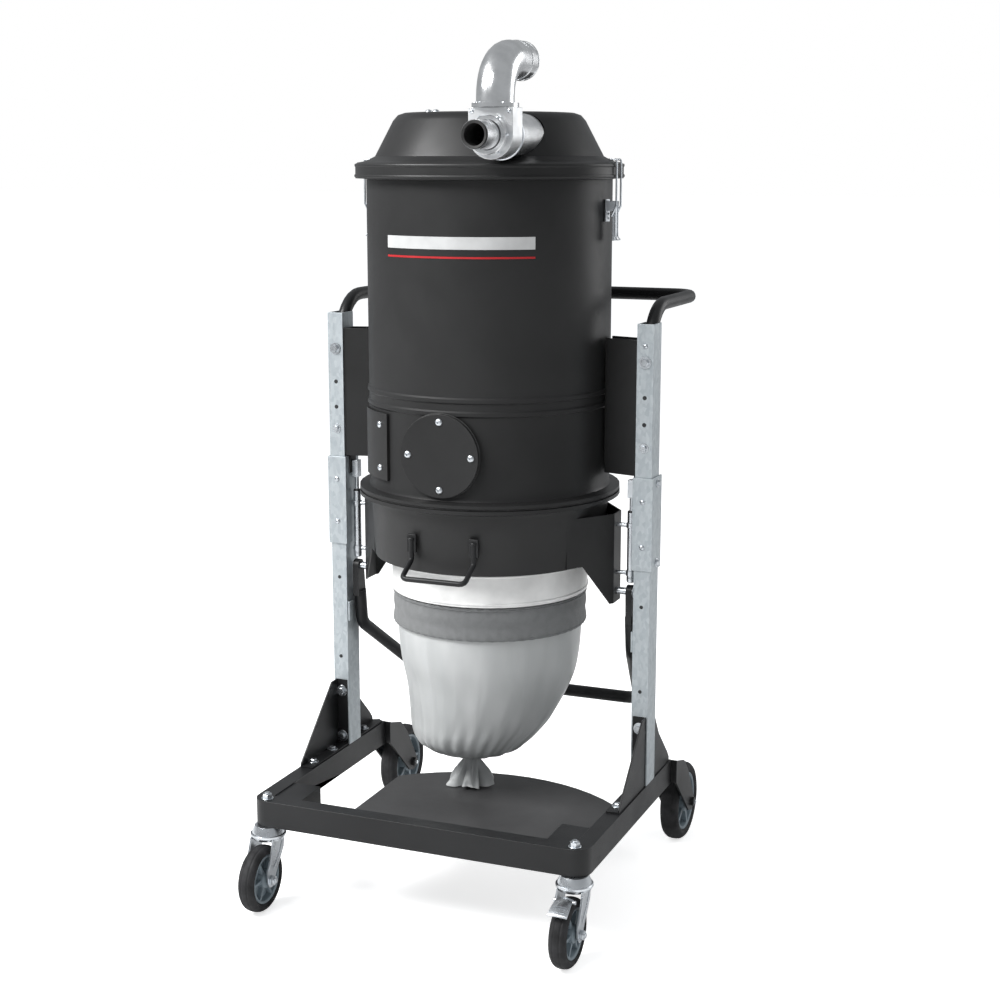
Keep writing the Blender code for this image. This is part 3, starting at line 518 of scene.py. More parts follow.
def dress_solids():
    slots = {part["node"]: part["material_slot"] for part in frame["record"]["subparts"]}
    smoothing = smoothing_group(32.0)
    for name, obj in NODES.items():
        look = LOOKS[SPECIAL_LOOKS.get(name, slots[name])]
        if not obj.material_slots:
            obj.data.materials.append(look)
        for slot in obj.material_slots:
            slot.material = look
        step = obj.modifiers.new("smooth", "NODES")
        step.node_group = smoothing
        if name not in ROUND_NODES:
            bevelled(obj, 0.0005)


# --- Drum, lid and head --------------------------------------------------------------------------


def make_label():
    """A plain pale band over a thin red one, where the drum carries its printing."""
    wall = DRUM_R + 0.0001
    face = wall + LABEL_THICKNESS
    bm = curved_strip(bmesh.new(), wall, face, LABEL_AZIMUTHS, LABEL_BAND_Z, 40)
    piece("plain_label_band", bm, "label_white", "root")
    bm = curved_strip(bmesh.new(), wall, face, LABEL_AZIMUTHS, LABEL_LINE_Z, 40)
    piece("plain_label_line", bm, "label_red", "root")


def make_drum_details():
    bm = bmesh.new()
    face_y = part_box("inlet_cover")[0].y
    middle = centre("inlet_cover")
    for quarter in range(4):
        turn = quarter * pi / 2
        x = middle.x + COVER_BOLT_CIRCLE_R * cos(turn)
        z = middle.z + COVER_BOLT_CIRCLE_R * sin(turn)
        dome_bolt(bm, (x, face_y, z), FRONT, 0.0068, 0.0038)
    piece("inlet_cover_bolts", bm, "zinc", "root")
    bm = bmesh.new()
    for z in SIDE_PLATE_BOLT_Z:
        at, out = round_the(SIDE_PLATE_AZIMUTH, DRUM_R + SIDE_PLATE_THICKNESS, z)
        dome_bolt(bm, at, out, 0.0065, 0.0036)
    piece("side_plate_bolts", bm, "zinc", "root")
    bm = bmesh.new()
    r = COVER_SEAL_R
    profile = [(r + 0.0002, -0.0034), (r + 0.0016, -0.0028), (r + 0.0016, -0.0012), (r + 0.0002, -0.0006)]
    turned(bm, profile, (middle.x, face_y + 0.0042, middle.z), FRONT, 56, closed=True)
    piece("inlet_cover_seal", bm, "seal_rubber", "root")
    seam = curved_strip(bmesh.new(), DRUM_R - 0.0002, DRUM_R + 0.0010, SEAM_AZIMUTHS, SEAM_Z, 4)
    piece("drum_weld_seam", seam, "black_paint", "root")


def make_lid_details():
    low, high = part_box("lid")
    bm = bmesh.new()
    for z, swell in ((low.z + 0.0045, 0.0020), (low.z + 0.0235, 0.0014)):
        bead = bead_profile(LID_RIM_R - 0.0006, z, swell, 0.0030)
        turned(bm, bead, (AXIS.x, AXIS.y, 0), UP, 96, closed=True)
    piece("lid_rim_beads", bm, "black_paint", "root")
    bm = bmesh.new()
    for azimuth in LID_STUD_AZIMUTHS:
        at, _ = round_the(azimuth, LID_STUD_CIRCLE_R, high.z)
        dome_bolt(bm, at, UP, 0.0062, 0.0040)
    piece("lid_top_studs", bm, "zinc", "root")


def make_head_details():
    """The spigot's union ring, a black rubber liner in its bore as painted shade that darkens the hole, the duct's
    clamp, and the body's screws.
    """
    low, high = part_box("valve_body")
    reach = low.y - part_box("intake_spigot")[0].y
    spigot = centre("intake_spigot")
    x, z = spigot.x, spigot.z
    bm = bmesh.new()
    ring = [(0.0312, 0.0), (0.0332, 0.0015), (0.0332, 0.0140), (0.0315, 0.0160)]
    ring += [(0.0257, 0.0160), (0.0257, 0.0150), (0.0304, 0.0128), (0.0304, 0.0)]
    turned(bm, ring, (x, low.y - 0.0004, z), FRONT, 64, closed=True)
    piece("union_ring", bm, "aluminium", "root")
    bm = bmesh.new()
    for k in range(UNION_LUGS):
        turn = tau * k / UNION_LUGS
        out = Vector((cos(turn), 0, sin(turn)))
        at = Vector((x, low.y - 0.008, z)) + out * UNION_LUG_R
        solid_turned(bm, [(0.0030, 0), (0.0030, 0.0026), (0.0022, 0.0034)], at, out, 16)
    piece("union_ring_lugs", bm, "zinc", "root")
    bm = bmesh.new()
    # A black rubber sleeve lines the spigot's bore: painted shade, so the hole reads dark.
    sleeve = [(0.0208, 0), (0.0208, reach), (0.0236, reach + 0.0020), (0.0226, reach + 0.0030)]
    sleeve += [(0.0187, reach + 0.0014), (0.0187, 0)]
    turned(bm, sleeve, (x, low.y, z), FRONT, 48, closed=True)
    piece("spigot_painted_shade_liner", bm, "seal_rubber", "root")
    bm = bmesh.new()
    for screw_x in (x - HEAD_SCREW_X, x + HEAD_SCREW_X):
        for y, out in ((low.y, FRONT), (high.y, -FRONT)):
            dome_bolt(bm, (screw_x, y, high.z - 0.0065), out, 0.0040, 0.0026)
    piece("valve_body_screws", bm, "zinc", "root")
    bm = bmesh.new()
    duct_low, duct_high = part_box("lid_duct")
    r = (duct_high.x - duct_low.x) / 2
    ring = [(r + 0.0004, 0.0), (r + 0.0032, 0.0012), (r + 0.0032, 0.0062), (r + 0.0004, 0.0074)]
    turned(bm, ring, (x, high.y + 0.0010, z), -FRONT, 64, closed=True)
    piece("duct_clamp_ring", bm, "zinc", "root")
    make_elbow_details(x)


def make_elbow_details(x):
    """The beads at the outlet pipe's end and the screws of its swivel collar."""
    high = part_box("outlet_elbow")[1]
    bm = bmesh.new()
    bead = bead_profile(ELBOW_PIPE_R - 0.0002, 0, 0.0016, 0.0018)
    for inset in (0.0020, 0.0300):
        turned(bm, bead, (x, high.y - inset, high.z - ELBOW_PIPE_R), -FRONT, 56, closed=True)
    piece("elbow_end_beads", bm, "aluminium", "elbow")
    bm = bmesh.new()
    for quarter in range(4):
        turn = pi / 4 + pi / 2 * quarter
        out = Vector((cos(turn), sin(turn), 0))
        dome_bolt(bm, pivot("elbow_swivel") + out * ELBOW_SCREW_CIRCLE_R + UP * 0.0070, UP, 0.0028, 0.0020)
    piece("elbow_collar_screws", bm, "zinc", "elbow")


def make_latch_details():
    for name, side in SIDES.items():
        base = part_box(f"{name}_latch_base")[0]
        out = Vector((side, 0, 0))
        bm = bmesh.new()
        for z in (base.z + 0.006, base.z + 0.014):
            dome_bolt(bm, (side * LATCH_PLATE_X, AXIS.y, z), out, 0.0030, 0.0020)
        piece(f"{name}_latch_rivets", bm, "zinc", "root")
        bm = bmesh.new()
        pin = [(0.0022, -0.0115), (0.0026, -0.0111), (0.0026, 0.0111), (0.0022, 0.0115)]
        solid_turned(bm, pin, pivot(f"{name}_latch_hinge"), (0, 1, 0), 16)
        piece(f"{name}_latch_pin", bm, "zinc", f"{name}_latch")
        low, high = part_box(f"{name}_latch_lever")
        bm = bmesh.new()
        x = side * LATCH_LEVER_X
        tip = (x + side * 0.0050, low.z + 0.0015)
        rim = [(x, high.z - 0.006), (x, low.z + 0.016), (x + side * 0.0015, low.z + 0.006), tip]
        edges = (AXIS.y - LATCH_LEVER_HALF_WIDTH, AXIS.y + LATCH_LEVER_HALF_WIDTH)
        for y in edges:
            tube(bm, smooth_points([(px, y, pz) for px, pz in rim], 5), LATCH_RIM_WIRE_R)
        tube(bm, [(tip[0], y, tip[1]) for y in edges], LATCH_RIM_WIRE_R)
        piece(f"{name}_latch_lever_rim", bm, "zinc", f"{name}_latch")


# --- Posts and frame -----------------------------------------------------------------------------


def hole_plugs(name, x, face_y, heights, radius):
    """Plugs in the post's adjustment holes."""
    bm = bmesh.new()
    profile = [(radius, 0), (radius, 0.0004), (radius - 0.0006, 0.0006)]
    for z in heights:
        solid_turned(bm, profile, (x, face_y, z), FRONT, 20)
    piece(name, bm, "black_plastic", "root")


def make_post_details():
    for name, side in SIDES.items():
        out = Vector((side, 0, 0))
        upper_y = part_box(f"{name}_upper_post")[0].y
        x = centre(f"{name}_upper_post").x
        low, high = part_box(f"{name}_post_sleeve")
        outer = high.x if side > 0 else low.x
        bm = bmesh.new()
        for z in (low.z + 0.012, high.z - 0.012):
            hex_bolt(bm, (outer, AXIS.y + 0.002, z), out, 0.010, 0.0042, 0.0014)
        for z in (low.z + 0.045, high.z - 0.045):
            dome_bolt(bm, (x, low.y, z), FRONT, 0.0052, 0.0030)
        piece(f"{name}_sleeve_bolts", bm, "zinc", "root")
        bm = bmesh.new()
        for z, across, head, washer in UPPER_POST_BOLTS:
            hex_bolt(bm, (x, upper_y, z), FRONT, across, head, washer)
        if side > 0:
            dome_bolt(bm, (x, upper_y, UPPER_POST_STUD_Z), FRONT, 0.0048, 0.0030)
        piece(f"{name}_upper_post_bolts", bm, "zinc", "root")
        hole_plugs(f"{name}_post_hole_plugs", x, upper_y, UPPER_POST_HOLE_Z, 0.0040)
        lower_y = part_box(f"{name}_lower_post")[0].y
        hole_plugs(f"{name}_lower_post_hole_plugs", x, lower_y, LOWER_POST_HOLE_Z, 0.0036)
        foot_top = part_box(f"{name}_gusset")[0].z + GUSSET_SHEET
        bm = bmesh.new()
        for z in GUSSET_BOLT_Z:
            hex_bolt(bm, (x, AXIS.y + POST_FRONT_Y, z), FRONT, 0.013, 0.0052, 0.0016)
        for y in GUSSET_FOOT_BOLT_Y:
            hex_bolt(bm, (x, AXIS.y + y, foot_top), UP, 0.012, 0.0050, 0.0014)
        piece(f"{name}_gusset_bolts", bm, "zinc", "root")
        bm = bmesh.new()
        inner = side * (abs(x) - 0.016)
        near, far = sorted((inner - side * 0.0005, inner - side * 0.0045))
        block(bm, (near, AXIS.y - 0.0235, LEVER_STOP_Z[0]), (far, AXIS.y - 0.0085, LEVER_STOP_Z[1]))
        bevelled(piece(f"{name}_lever_stop", bm, "galvanised", "root"), 0.0008)
        bm = bmesh.new()
        pin = [(0.0046, -0.0030), (0.0050, -0.0026), (0.0050, 0.0150), (0.0046, 0.0154)]
        solid_turned(bm, pin, (side * SPRING_TOP_PIN_X, AXIS.y, SPRING_TOP_PIN_Z), (-side, 0, 0), 20)
        piece(f"{name}_spring_top_pin", bm, "zinc", "root")


def make_frame_details():
    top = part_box("base_frame")[1].z
    stem_y = centre("left_caster_stem").y
    washer = [(0.0112, 0), (0.0116, 0.0004), (0.0116, 0.0016), (0.0112, 0.0020)]
    bm = bmesh.new()
    for side in SIDES.values():
        x = side * STEM_NUT_X
        solid_turned(bm, washer, (x, stem_y, top), UP, 28)
        nut(bm, (x, stem_y, top + 0.0020), UP, 0.0165, 0.0075, 0.0035)
    piece("caster_stem_nuts", bm, "zinc", "root")
    tray_low, tray_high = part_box("collection_tray")
    bm = bmesh.new()
    for x, y in TRAY_SCREWS:
        dome_bolt(bm, (x, tray_low.y + y, tray_high.z), UP, 0.0050, 0.0022)
    piece("tray_screws", bm, "black_plastic", "root")
    end = [(0.0042, -0.002), (0.0042, 0.0028), (0.0034, 0.0034)]
    for name in SIDES:
        low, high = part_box(f"rear_{name}_wheel_bracket")
        axle = centre(f"rear_{name}_wheel_hub")
        bm = bmesh.new()
        for cheek, face in ((-1, low.x), (1, high.x)):
            solid_turned(bm, end, (face, axle.y, axle.z), (cheek, 0, 0), 20)
        piece(f"rear_{name}_axle_ends", bm, "zinc", "root")


# --- Wheels --------------------------------------------------------------------------------------


def tyre_profile(radius, half, rim):
    """A soft round tread with two shallow grooves, as (radius, offset) points."""
    steps = 16
    grooves = (5, 11)
    crown = []
    for i in range(steps + 1):
        t = -1 + 2 * i / steps
        drop = 0.0075 * abs(t) ** 3.2
        groove = 0.0011 if i in grooves else 0.0
        crown.append((radius - drop - groove, t * (half - 0.0012)))
    wall = [(radius - 0.011, half), (rim + 0.005, half - 0.0005), (rim + 0.0004, half - 0.0035)]
    left = [(r, -y) for r, y in reversed(wall)]
    return left + crown + wall


def add_spokes(bm, middle, count, radius, boss, rim, half):
    """Webs on both faces of a hub's disc, each tapering outwards."""
    near_wide, far_wide = radius * 0.058, radius * 0.036
    for k in range(count):
        turn = tau * k / count
        out = Vector((0, cos(turn), sin(turn)))
        across = Vector((0, -sin(turn), cos(turn)))
        near, far = out * (boss - 0.0005), out * (rim - 0.0058)
        wide, slim = across * near_wide, across * far_wide
        corners = [near - wide, near + wide, far + slim, far - slim]
        for face in (-1, 1):
            web = Vector((face * 0.0020, 0, 0))
            deep = Vector((face * (half - 0.0055), 0, 0))
            lower = [bm.verts.new(middle + web + c) for c in corners]
            upper = [bm.verts.new(middle + deep + c) for c in corners]
            bm.faces.new(lower)
            bm.faces.new(upper)
            for a in range(4):
                b = (a + 1) % 4
                bm.faces.new((lower[a], lower[b], upper[b], upper[a]))


def make_wheel(name, body, radius, spokes):
    """A tyre, a spoked hub and its bearing caps, named after the wheel."""
    tyre_node, hub_node = f"{name}_tyre", f"{name}_hub"
    low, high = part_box(tyre_node)
    middle = (low + high) / 2
    half = (high.x - low.x) / 2
    rim, boss, bore = radius * 0.74, radius * 0.27, 0.0058
    axis = (1, 0, 0)
    bm = turned(bmesh.new(), tyre_profile(radius, half, rim), middle, axis, 72, closed=True)
    tyre = piece(f"{name}_tread", bm, "tyre_rubber", body, 50)
    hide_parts(tyre_node)
    bm = bmesh.new()
    shell = [(rim - 0.0055, -half + 0.0045), (rim - 0.0008, -half + 0.0030), (rim, -half + 0.0050)]
    shell += [(rim, half - 0.0050), (rim - 0.0008, half - 0.0030), (rim - 0.0055, half - 0.0045)]
    shell += [(rim - 0.0075, 0.0035), (rim - 0.0075, -0.0035)]
    turned(bm, shell, middle, axis, 64, closed=True)
    core = [(bore, -half - 0.0010), (boss * 0.62, -half - 0.0010), (boss * 0.70, -half + 0.0006)]
    core += [(boss, -half + 0.0030), (boss + 0.001, -0.0045), (boss + 0.001, 0.0045), (boss, half - 0.0030)]
    core += [(boss * 0.70, half - 0.0006), (boss * 0.62, half + 0.0010), (bore, half + 0.0010)]
    turned(bm, core, middle, axis, 40, closed=True)
    disc = [(boss - 0.001, -0.0030), (rim - 0.006, -0.0022), (rim - 0.006, 0.0022), (boss - 0.001, 0.0030)]
    turned(bm, disc, middle, axis, 64, closed=True)
    add_spokes(bm, middle, spokes, radius, boss, rim, half)
    hub = bevelled(piece(f"{name}_spoked_hub", bm, "hub_plastic", body), 0.0006)
    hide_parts(hub_node)
    bm = bmesh.new()
    cap = [(boss * 0.60, 0), (boss * 0.60, 0.0010), (boss * 0.50, 0.0016), (0.0062, 0.0016), (0.0062, 0)]
    for face in (-1, 1):
        at = middle + Vector((face * (half - 0.0004), 0, 0))
        turned(bm, cap, at, (face, 0, 0), 32, closed=True)
    piece(f"{name}_bearing_caps", bm, "black_plastic", body)


def make_caster_details(name):
    """The swivel race, the axle's nuts and the fork's pressed ribs."""
    body = f"{name}_caster"
    stem = centre(f"{name}_caster_stem")
    wheel = centre(f"{name}_caster_hub")
    bm = bmesh.new()
    race = [(0.0318, 0.1372), (0.0335, 0.1384), (0.0335, 0.1420), (0.0318, 0.1432)]
    turned(bm, race, (stem.x, stem.y, 0), UP, 48, closed=True)
    piece(f"{name}_swivel_race", bm, "zinc", body)
    nuts, ribs = bmesh.new(), bmesh.new()
    for cheek, height, thread in ((-1, 0.0055, 0.0004), (1, 0.0070, 0.0030)):
        x = wheel.x + cheek * FORK_FACE_X
        nut(nuts, (x, wheel.y, wheel.z), (cheek, 0, 0), 0.0165, height, thread)
        ridge = [(x, stem.y + 0.010, 0.130), (x, stem.y - 0.004, 0.105), (x, wheel.y + 0.007, 0.082)]
        tube(ribs, smooth_points(ridge, 6), 0.0016)
        edge = [(x, stem.y - 0.026, 0.128), (x, wheel.y, 0.108), (x, wheel.y - 0.010, 0.084)]
        tube(ribs, smooth_points(edge, 6), 0.0013)
    piece(f"{name}_axle_nuts", nuts, "zinc", body)
    piece(f"{name}_fork_ribs", ribs, "zinc", body)


def make_wheels():
    for name in SIDES:
        make_wheel(f"{name}_caster", f"{name}_caster_wheel", CASTER_WHEEL_R, CASTER_SPOKES)
        make_caster_details(name)
    for name in SIDES:
        make_wheel(f"rear_{name}_wheel", f"rear_{name}_wheel", REAR_WHEEL_R, REAR_SPOKES)


def make_pedal():
    """The flared brake pedal, with a rolled edge and grip ribs."""
    low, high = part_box("brake_pedal")
    x = (low.x + high.x) / 2
    steps, across = 12, 12
    grid = []
    for i in range(steps + 1):
        t = i / steps
        y = high.y - 0.002 - t * (high.y - low.y - 0.004)
        z = high.z - 0.003 - 0.0165 * t**1.7
        half = 0.0140 + 0.0040 * sin(t * pi / 2)
        row = []
        for k in range(across + 1):
            s = -1 + 2 * k / across
            tip = 0.004 * t * (1 - s * s)
            droop = 0.0024 * s * s * (1 - t * 0.4)
            row.append(Vector((x + s * half, y - tip * 0.3, z - droop)))
        grid.append(row)
    bm = bmesh.new()
    top = [[bm.verts.new(p) for p in row] for row in grid]
    under = [[bm.verts.new(p - UP * PEDAL_SHEET) for p in row] for row in grid]
    for i in range(steps):
        for k in range(across):
            bm.faces.new((top[i][k], top[i][k + 1], top[i + 1][k + 1], top[i + 1][k]))
            bm.faces.new((under[i][k], under[i + 1][k], under[i + 1][k + 1], under[i][k + 1]))
    border = [(0, k) for k in range(across + 1)] + [(i, across) for i in range(1, steps + 1)]
    border += [(steps, k) for k in range(across - 1, -1, -1)] + [(i, 0) for i in range(steps - 1, 0, -1)]
    for (a, b), (c, d) in zip(border, border[1:] + border[:1]):
        bm.faces.new((top[a][b], under[a][b], under[c][d], top[c][d]))
    pedal = piece("flared_brake_pedal", bm, "zinc", "brake", 60)
    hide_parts("brake_pedal")
    bm = bmesh.new()
    for t in (0.55, 0.70, 0.85):
        row = grid[round(t * steps)]
        tube(bm, [p + UP * 0.0002 for p in row[2:-2]], 0.0009)
    piece("brake_pedal_grip_ribs", bm, "zinc", "brake")
    bm = bmesh.new()
    pin = [(0.0030, -0.0205), (0.0034, -0.0200), (0.0034, 0.0200), (0.0030, 0.0205)]
    solid_turned(bm, pin, (x, high.y - 0.006, PEDAL_PIN_Z), (1, 0, 0), 20)
    piece("brake_pedal_pin", bm, "zinc", "brake")


# --- Collar and bag ------------------------------------------------------------------------------


def make_collar_details():
    low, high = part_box("collar_handle")
    wall_y = AXIS.y + COLLAR_WALL_Y
    foot = [(0.0050, -0.001), (0.0066, 0.0002), (0.0066, 0.0030), (0.0050, 0.0042)]
    bm = bmesh.new()
    for x in (low.x + 0.005, high.x - 0.005):
        solid_turned(bm, foot, (x, wall_y, high.z), UP, 20)
        block(bm, (x - 0.009, wall_y - 0.0012, high.z - 0.024), (x + 0.009, AXIS.y - 0.2215, high.z + 0.010))
    bevelled(piece("collar_handle_feet", bm, "frame_paint", "collar"), 0.0008)
    for name, side in SIDES.items():
        out = Vector((side, 0, 0))
        lever_z = pivot("lever_hinge").z
        bm = bmesh.new()
        hex_bolt(bm, (side * LEVER_BOLT_X, AXIS.y, lever_z), out, 0.013, 0.0035, 0.0012)
        spacer = [(0.0070, 0), (0.0070, LEVER_INNER_X - WING_FACE_X)]
        solid_turned(bm, spacer, (side * WING_FACE_X, AXIS.y, lever_z), out, 20)
        piece(f"{name}_lever_pivot_bolt", bm, "zinc", "collar")
        make_spring_details(name, side)


def make_spring_details(name, side):
    """The foot, clamps and gland of a gas spring's body."""
    low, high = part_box(f"{name}_spring_body")
    x = (low.x + high.x) / 2
    foot = [(0.0060, 0), (0.0072, 0.0010), (0.0078, 0.0040), (0.0078, 0.0100), (0.0074, 0.0110)]
    band = [(0.0078, -0.0045), (0.0094, -0.0045), (0.0094, 0.0045), (0.0078, 0.0045)]
    bm = bmesh.new()
    solid_turned(bm, foot, (x, AXIS.y, low.z - 0.0020), UP, 24)
    for z in (low.z + rise for rise in SPRING_CLAMP_Z):
        turned(bm, band, (x, AXIS.y, z), UP, 24, closed=True)
        stud = [(0.0040, 0), (0.0040, 0.0200)]
        solid_turned(bm, stud, (side * WING_FACE_X, AXIS.y, z), (side, 0, 0), 16)
    piece(f"{name}_spring_foot", bm, "zinc", "collar")
    bm = bmesh.new()
    gland = [(0.0046, 0.0), (0.0074, 0.0), (0.0076, 0.0015), (0.0060, 0.0035), (0.0046, 0.0038)]
    turned(bm, gland, (x, AXIS.y, high.z - 0.0005), UP, 24, closed=True)
    piece(f"{name}_spring_gland", bm, "black_plastic", "collar")


def sewn_rings(bm, rings):
    """Joins closed rings of points into an open tube."""
    for a, b in zip(rings, rings[1:]):
        for k in range(len(a)):
            j = (k + 1) % len(a)
            bm.faces.new((a[k], a[j], b[j], b[k]))
    return bm


def bag_squash(obj):
    """Gives the film piece a mesh of its own."""
    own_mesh(obj)


def make_bag():
    """Plastic film gathered from a full mouth down to a knot, leaning and creased as it hangs."""
    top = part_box("collection_bag")[1].z
    around = 240
    path = smooth_points([Vector(s) for s in ((top, BAG_MOUTH_R, 0),) + BAG_STATIONS], 10)
    bm = bmesh.new()
    rings = []
    for z, r, share in path:
        fall = (top - z) / (top - KNOT.z)
        gather = max(0.0, (fall - 0.62) / 0.38)
        free = min(1.0, fall * 4)
        ring = []
        for k in range(around):
            turn = tau * k / around
            round_x, round_y = cos(turn), sin(turn)
            folds = 0.5 * sin(turn * 21 + 2.2 * noise.noise(Vector((round_x * 2, round_y * 2, z * 6))))
            folds += 0.5 * sin(turn * 34 + 4.0 * noise.noise(Vector((round_x, round_y, 7 + z * 4))))
            sag = noise.noise(Vector((round_x * 1.5, round_y * 1.5, z * 5 + 3)))
            crease = abs(noise.noise(Vector((round_x * 3.2, round_y * 3.2, z * 2.6)))) - 0.2
            swell = (0.0040 * sag - 0.0045 * crease) * free
            pleat = 0.0048 * gather**1.3 * folds * min(1.0, r / 0.05)
            grown = max(0.004, r + (swell + pleat) * min(1.0, r / 0.08) - 0.002)
            x = KNOT.x * share + grown * round_x
            y = AXIS.y + (KNOT.y - AXIS.y) * share + grown * round_y
            ring.append(bm.verts.new((x, y, z)))
        rings.append(ring)
    bag = piece("gathered_bag", sewn_rings(bm, rings), "bag_film", "root", 180)
    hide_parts("collection_bag")
    bag_squash(bag)
    tail = make_bag_tail()
    bag_squash(tail)
    loop = bead_profile(0.0128, 0, 0.0022, 0.0030, 12)
    bm = turned(bmesh.new(), loop, KNOT + UP * 0.003, UP, 40, closed=True)
    tie = piece("bag_tie", bm, "bag_film", "root")
    bag_squash(tie)


def make_bag_tail():
    """The crumpled end of the film below its tie, spread on the tray."""
    around, rows = 96, 26
    top = KNOT.z + 0.004
    bm = bmesh.new()
    rings = []
    for i in range(rows + 1):
        t = i / rows
        ring = []
        for k in range(around):
            turn = tau * k / around
            flare = 0.0105 + 0.0290 * t**0.75
            ruffle = 0.26 * sin(turn * 5 + 1.3) + 0.16 * sin(turn * 9 + t * 3.0) + 0.08 * sin(turn * 15 + 0.5)
            r = flare * (1 + ruffle * min(1.0, t * 1.8))
            lift = 0.007 * t * (0.5 + 0.5 * sin(turn * 4 + 0.7))
            crumple = 0.0025 * t * noise.noise(Vector((cos(turn) * 3, sin(turn) * 3, t * 6)))
            z = top - t * (top - BAG_FOOT - 0.0010) + lift
            at = Vector((KNOT.x - 0.003 * t, KNOT.y - 0.004 * t, z))
            ring.append(bm.verts.new(at + Vector((cos(turn), sin(turn) * 0.85, 0)) * (r + crumple)))
        rings.append(ring)
    return piece("bag_tail", sewn_rings(bm, rings), "bag_film", "root", 180)


def make_strap():
    """The webbing that clamps the bag's mouth, puckered along both edges, and the beads of the ring above."""
    low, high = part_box("bag_strap")
    around, rows = 240, 14
    loops = []
    bm = bmesh.new()
    for outside in (False, True):
        rings = []
        for i in range(rows + 1):
            t = i / rows
            wave = 0.0006 if i in (0, rows) else 0
            roll = 0.0008 * sin(t * pi * 4)
            ring = []
            for k in range(around):
                turn = tau * k / around
                drift = 2 * noise.noise(Vector((cos(turn) * 3, sin(turn) * 3, t)))
                pucker = 0.0010 * sin(turn * STRAP_PUCKERS + drift) * (2 * t - 1) ** 2
                r = (STRAP_OUTER_R + pucker + roll) if outside else STRAP_INNER_R
                z = low.z + (high.z - low.z) * t + wave * sin(turn * STRAP_PUCKERS)
                ring.append(bm.verts.new((AXIS.x + r * cos(turn), AXIS.y + r * sin(turn), z)))
            rings.append(ring)
        sewn_rings(bm, rings)
        loops.append(rings)
    for end in (0, -1):
        sewn_rings(bm, [loops[0][end], loops[1][end]])
    strap = piece("bag_strap_webbing", bm, "webbing", "collar", 50)
    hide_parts("bag_strap")
    bm = bmesh.new()
    near, far = STRAP_OUTER_R + 0.0004, STRAP_OUTER_R + 0.0016
    for z in (low.z + 0.004, high.z - 0.004):
        stitch = [(near, z - 0.0006), (far, z), (near, z + 0.0006)]
        turned(bm, stitch, (AXIS.x, AXIS.y, 0), UP, 160, closed=True)
    piece("bag_strap_stitching", bm, "webbing", "collar")
    low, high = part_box("bag_cassette")
    bm = bmesh.new()
    for z in (low.z + 0.006, high.z - 0.008):
        bead = bead_profile(CASSETTE_R, z, 0.0014, 0.0022)
        turned(bm, bead, (AXIS.x, AXIS.y, 0), UP, 128, closed=True)
    piece("bag_cassette_beads", bm, "white_plastic", "collar")


# --- Stage ---------------------------------------------------------------------------------------


LIGHT_TARGET = (0, 0, 0.9)
# name: place, watts, width and height
LIGHTS = {
    "key": ((-2.3, -1.9, 3.4), 165, (1.7, 1.9)),
    "front": ((-1.1, -2.9, 3.6), 85, (2.0, 1.2)),
    "back": ((2.4, 2.6, 1.9), 32, (1.6, 2.2)),
}
ROOM_COLOUR = (0.95, 0.975, 1.0, 1)
ROOM_STRENGTH = 0.40
WHITE = (1, 1, 1, 1)
FLOOR_HALF = 60.0
FLOOR_GLOW = 0.68
CAMERA_AT = (1.2567, -3.0196 + AXIS.y, 1.3860)
CAMERA_DOWN, CAMERA_TURN = 11.229, 22.256
CAMERA_ANGLE = 32.355


def area_light(name, at, power, size):
    data = bpy.data.lights.new(name, "AREA")
    data.energy = power
    data.shape = "RECTANGLE"
    data.size, data.size_y = size
    light = in_scene(name, data)
    light.location = at
    aim = Vector(LIGHT_TARGET) - Vector(at)
    light.rotation_euler = aim.to_track_quat("-Z", "Y").to_euler()


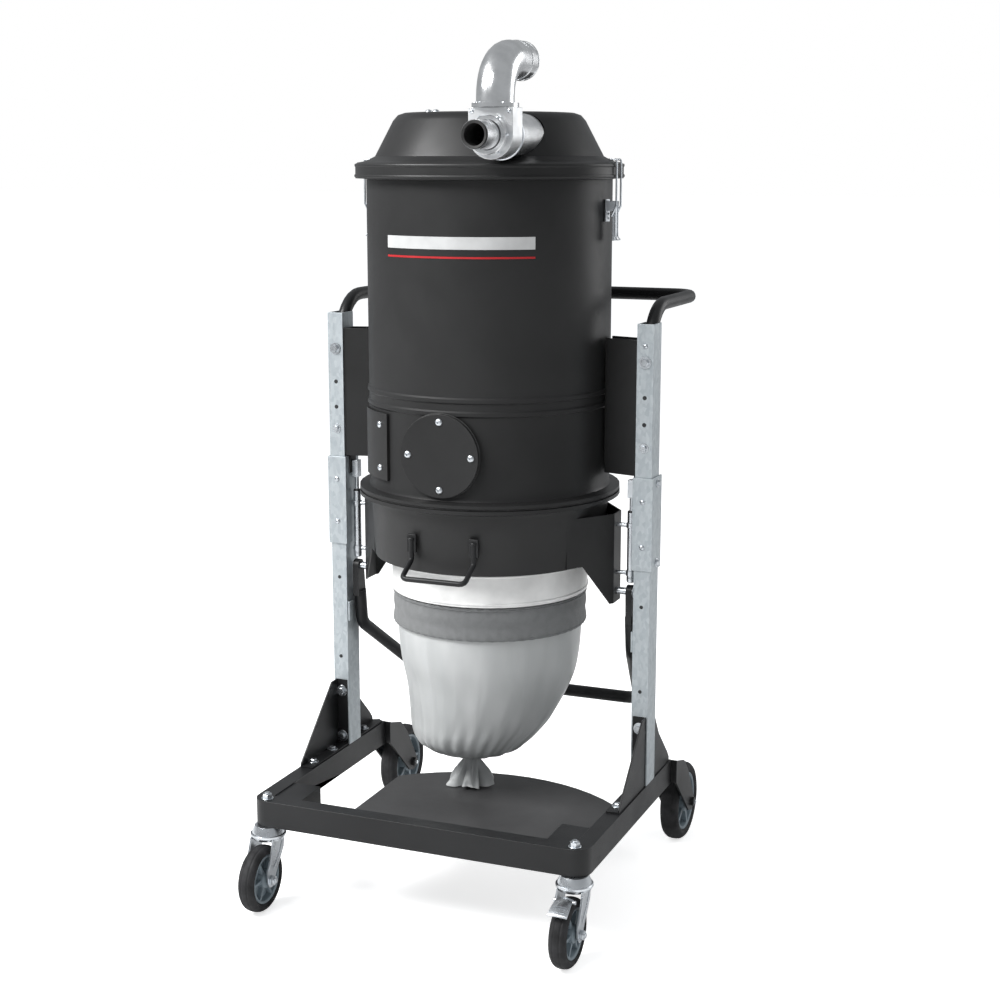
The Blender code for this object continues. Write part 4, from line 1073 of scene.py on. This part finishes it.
def make_floor():
    """A pale sweep that the camera sees a little brighter than it is lit."""
    pale = Shader("pale_floor", (0.90, 0.90, 0.90), 0.9, Specular_IOR_Level=0.0)
    rays = pale.node("ShaderNodeLightPath")
    glow = pale.node("ShaderNodeMath", operation="MULTIPLY")
    glow.inputs[1].default_value = FLOOR_GLOW
    pale.link(rays.outputs["Is Camera Ray"], glow.inputs[0])
    pale.bsdf.inputs["Emission Color"].default_value = WHITE
    pale.link(glow.outputs["Value"], pale.bsdf.inputs["Emission Strength"])
    bm = bmesh.new()
    bmesh.ops.create_grid(bm, x_segments=1, y_segments=1, size=FLOOR_HALF)
    mesh = bpy.data.meshes.new("floor")
    bm.to_mesh(mesh)
    bm.free()
    mesh.materials.append(pale.material)
    in_scene("floor", mesh)


def make_world():
    """A dim cool room for the light, and plain white where the camera looks past the floor."""
    world = bpy.data.worlds.new("studio")
    bpy.context.scene.world = world
    world.use_nodes = True
    tree = world.node_tree
    room = tree.nodes["Background"]
    room.inputs["Color"].default_value = ROOM_COLOUR
    room.inputs["Strength"].default_value = ROOM_STRENGTH
    seen = tree.nodes.new("ShaderNodeBackground")
    seen.inputs["Color"].default_value = WHITE
    seen.inputs["Strength"].default_value = 1.0
    rays = tree.nodes.new("ShaderNodeLightPath")
    mixed = tree.nodes.new("ShaderNodeMixShader")
    tree.links.new(rays.outputs["Is Camera Ray"], mixed.inputs["Fac"])
    tree.links.new(room.outputs["Background"], mixed.inputs[1])
    tree.links.new(seen.outputs["Background"], mixed.inputs[2])
    tree.links.new(mixed.outputs["Shader"], tree.nodes["World Output"].inputs["Surface"])


def make_stage():
    """Soft studio light and the camera at the photograph's viewing angle."""
    make_floor()
    make_world()
    for name, (at, power, size) in LIGHTS.items():
        area_light(name, at, power, size)
    scene = bpy.context.scene
    scene.view_settings.view_transform = "Standard"
    data = bpy.data.cameras.new("camera")
    data.angle = radians(CAMERA_ANGLE)
    camera = in_scene("camera", data)
    camera.location = CAMERA_AT
    camera.rotation_euler = (radians(90 - CAMERA_DOWN), 0, radians(CAMERA_TURN))
    scene.camera = camera


dress_solids()
make_label()
make_drum_details()
make_lid_details()
make_head_details()
make_latch_details()
make_post_details()
make_frame_details()
make_wheels()
make_pedal()
make_collar_details()
make_bag()
make_strap()
make_stage()
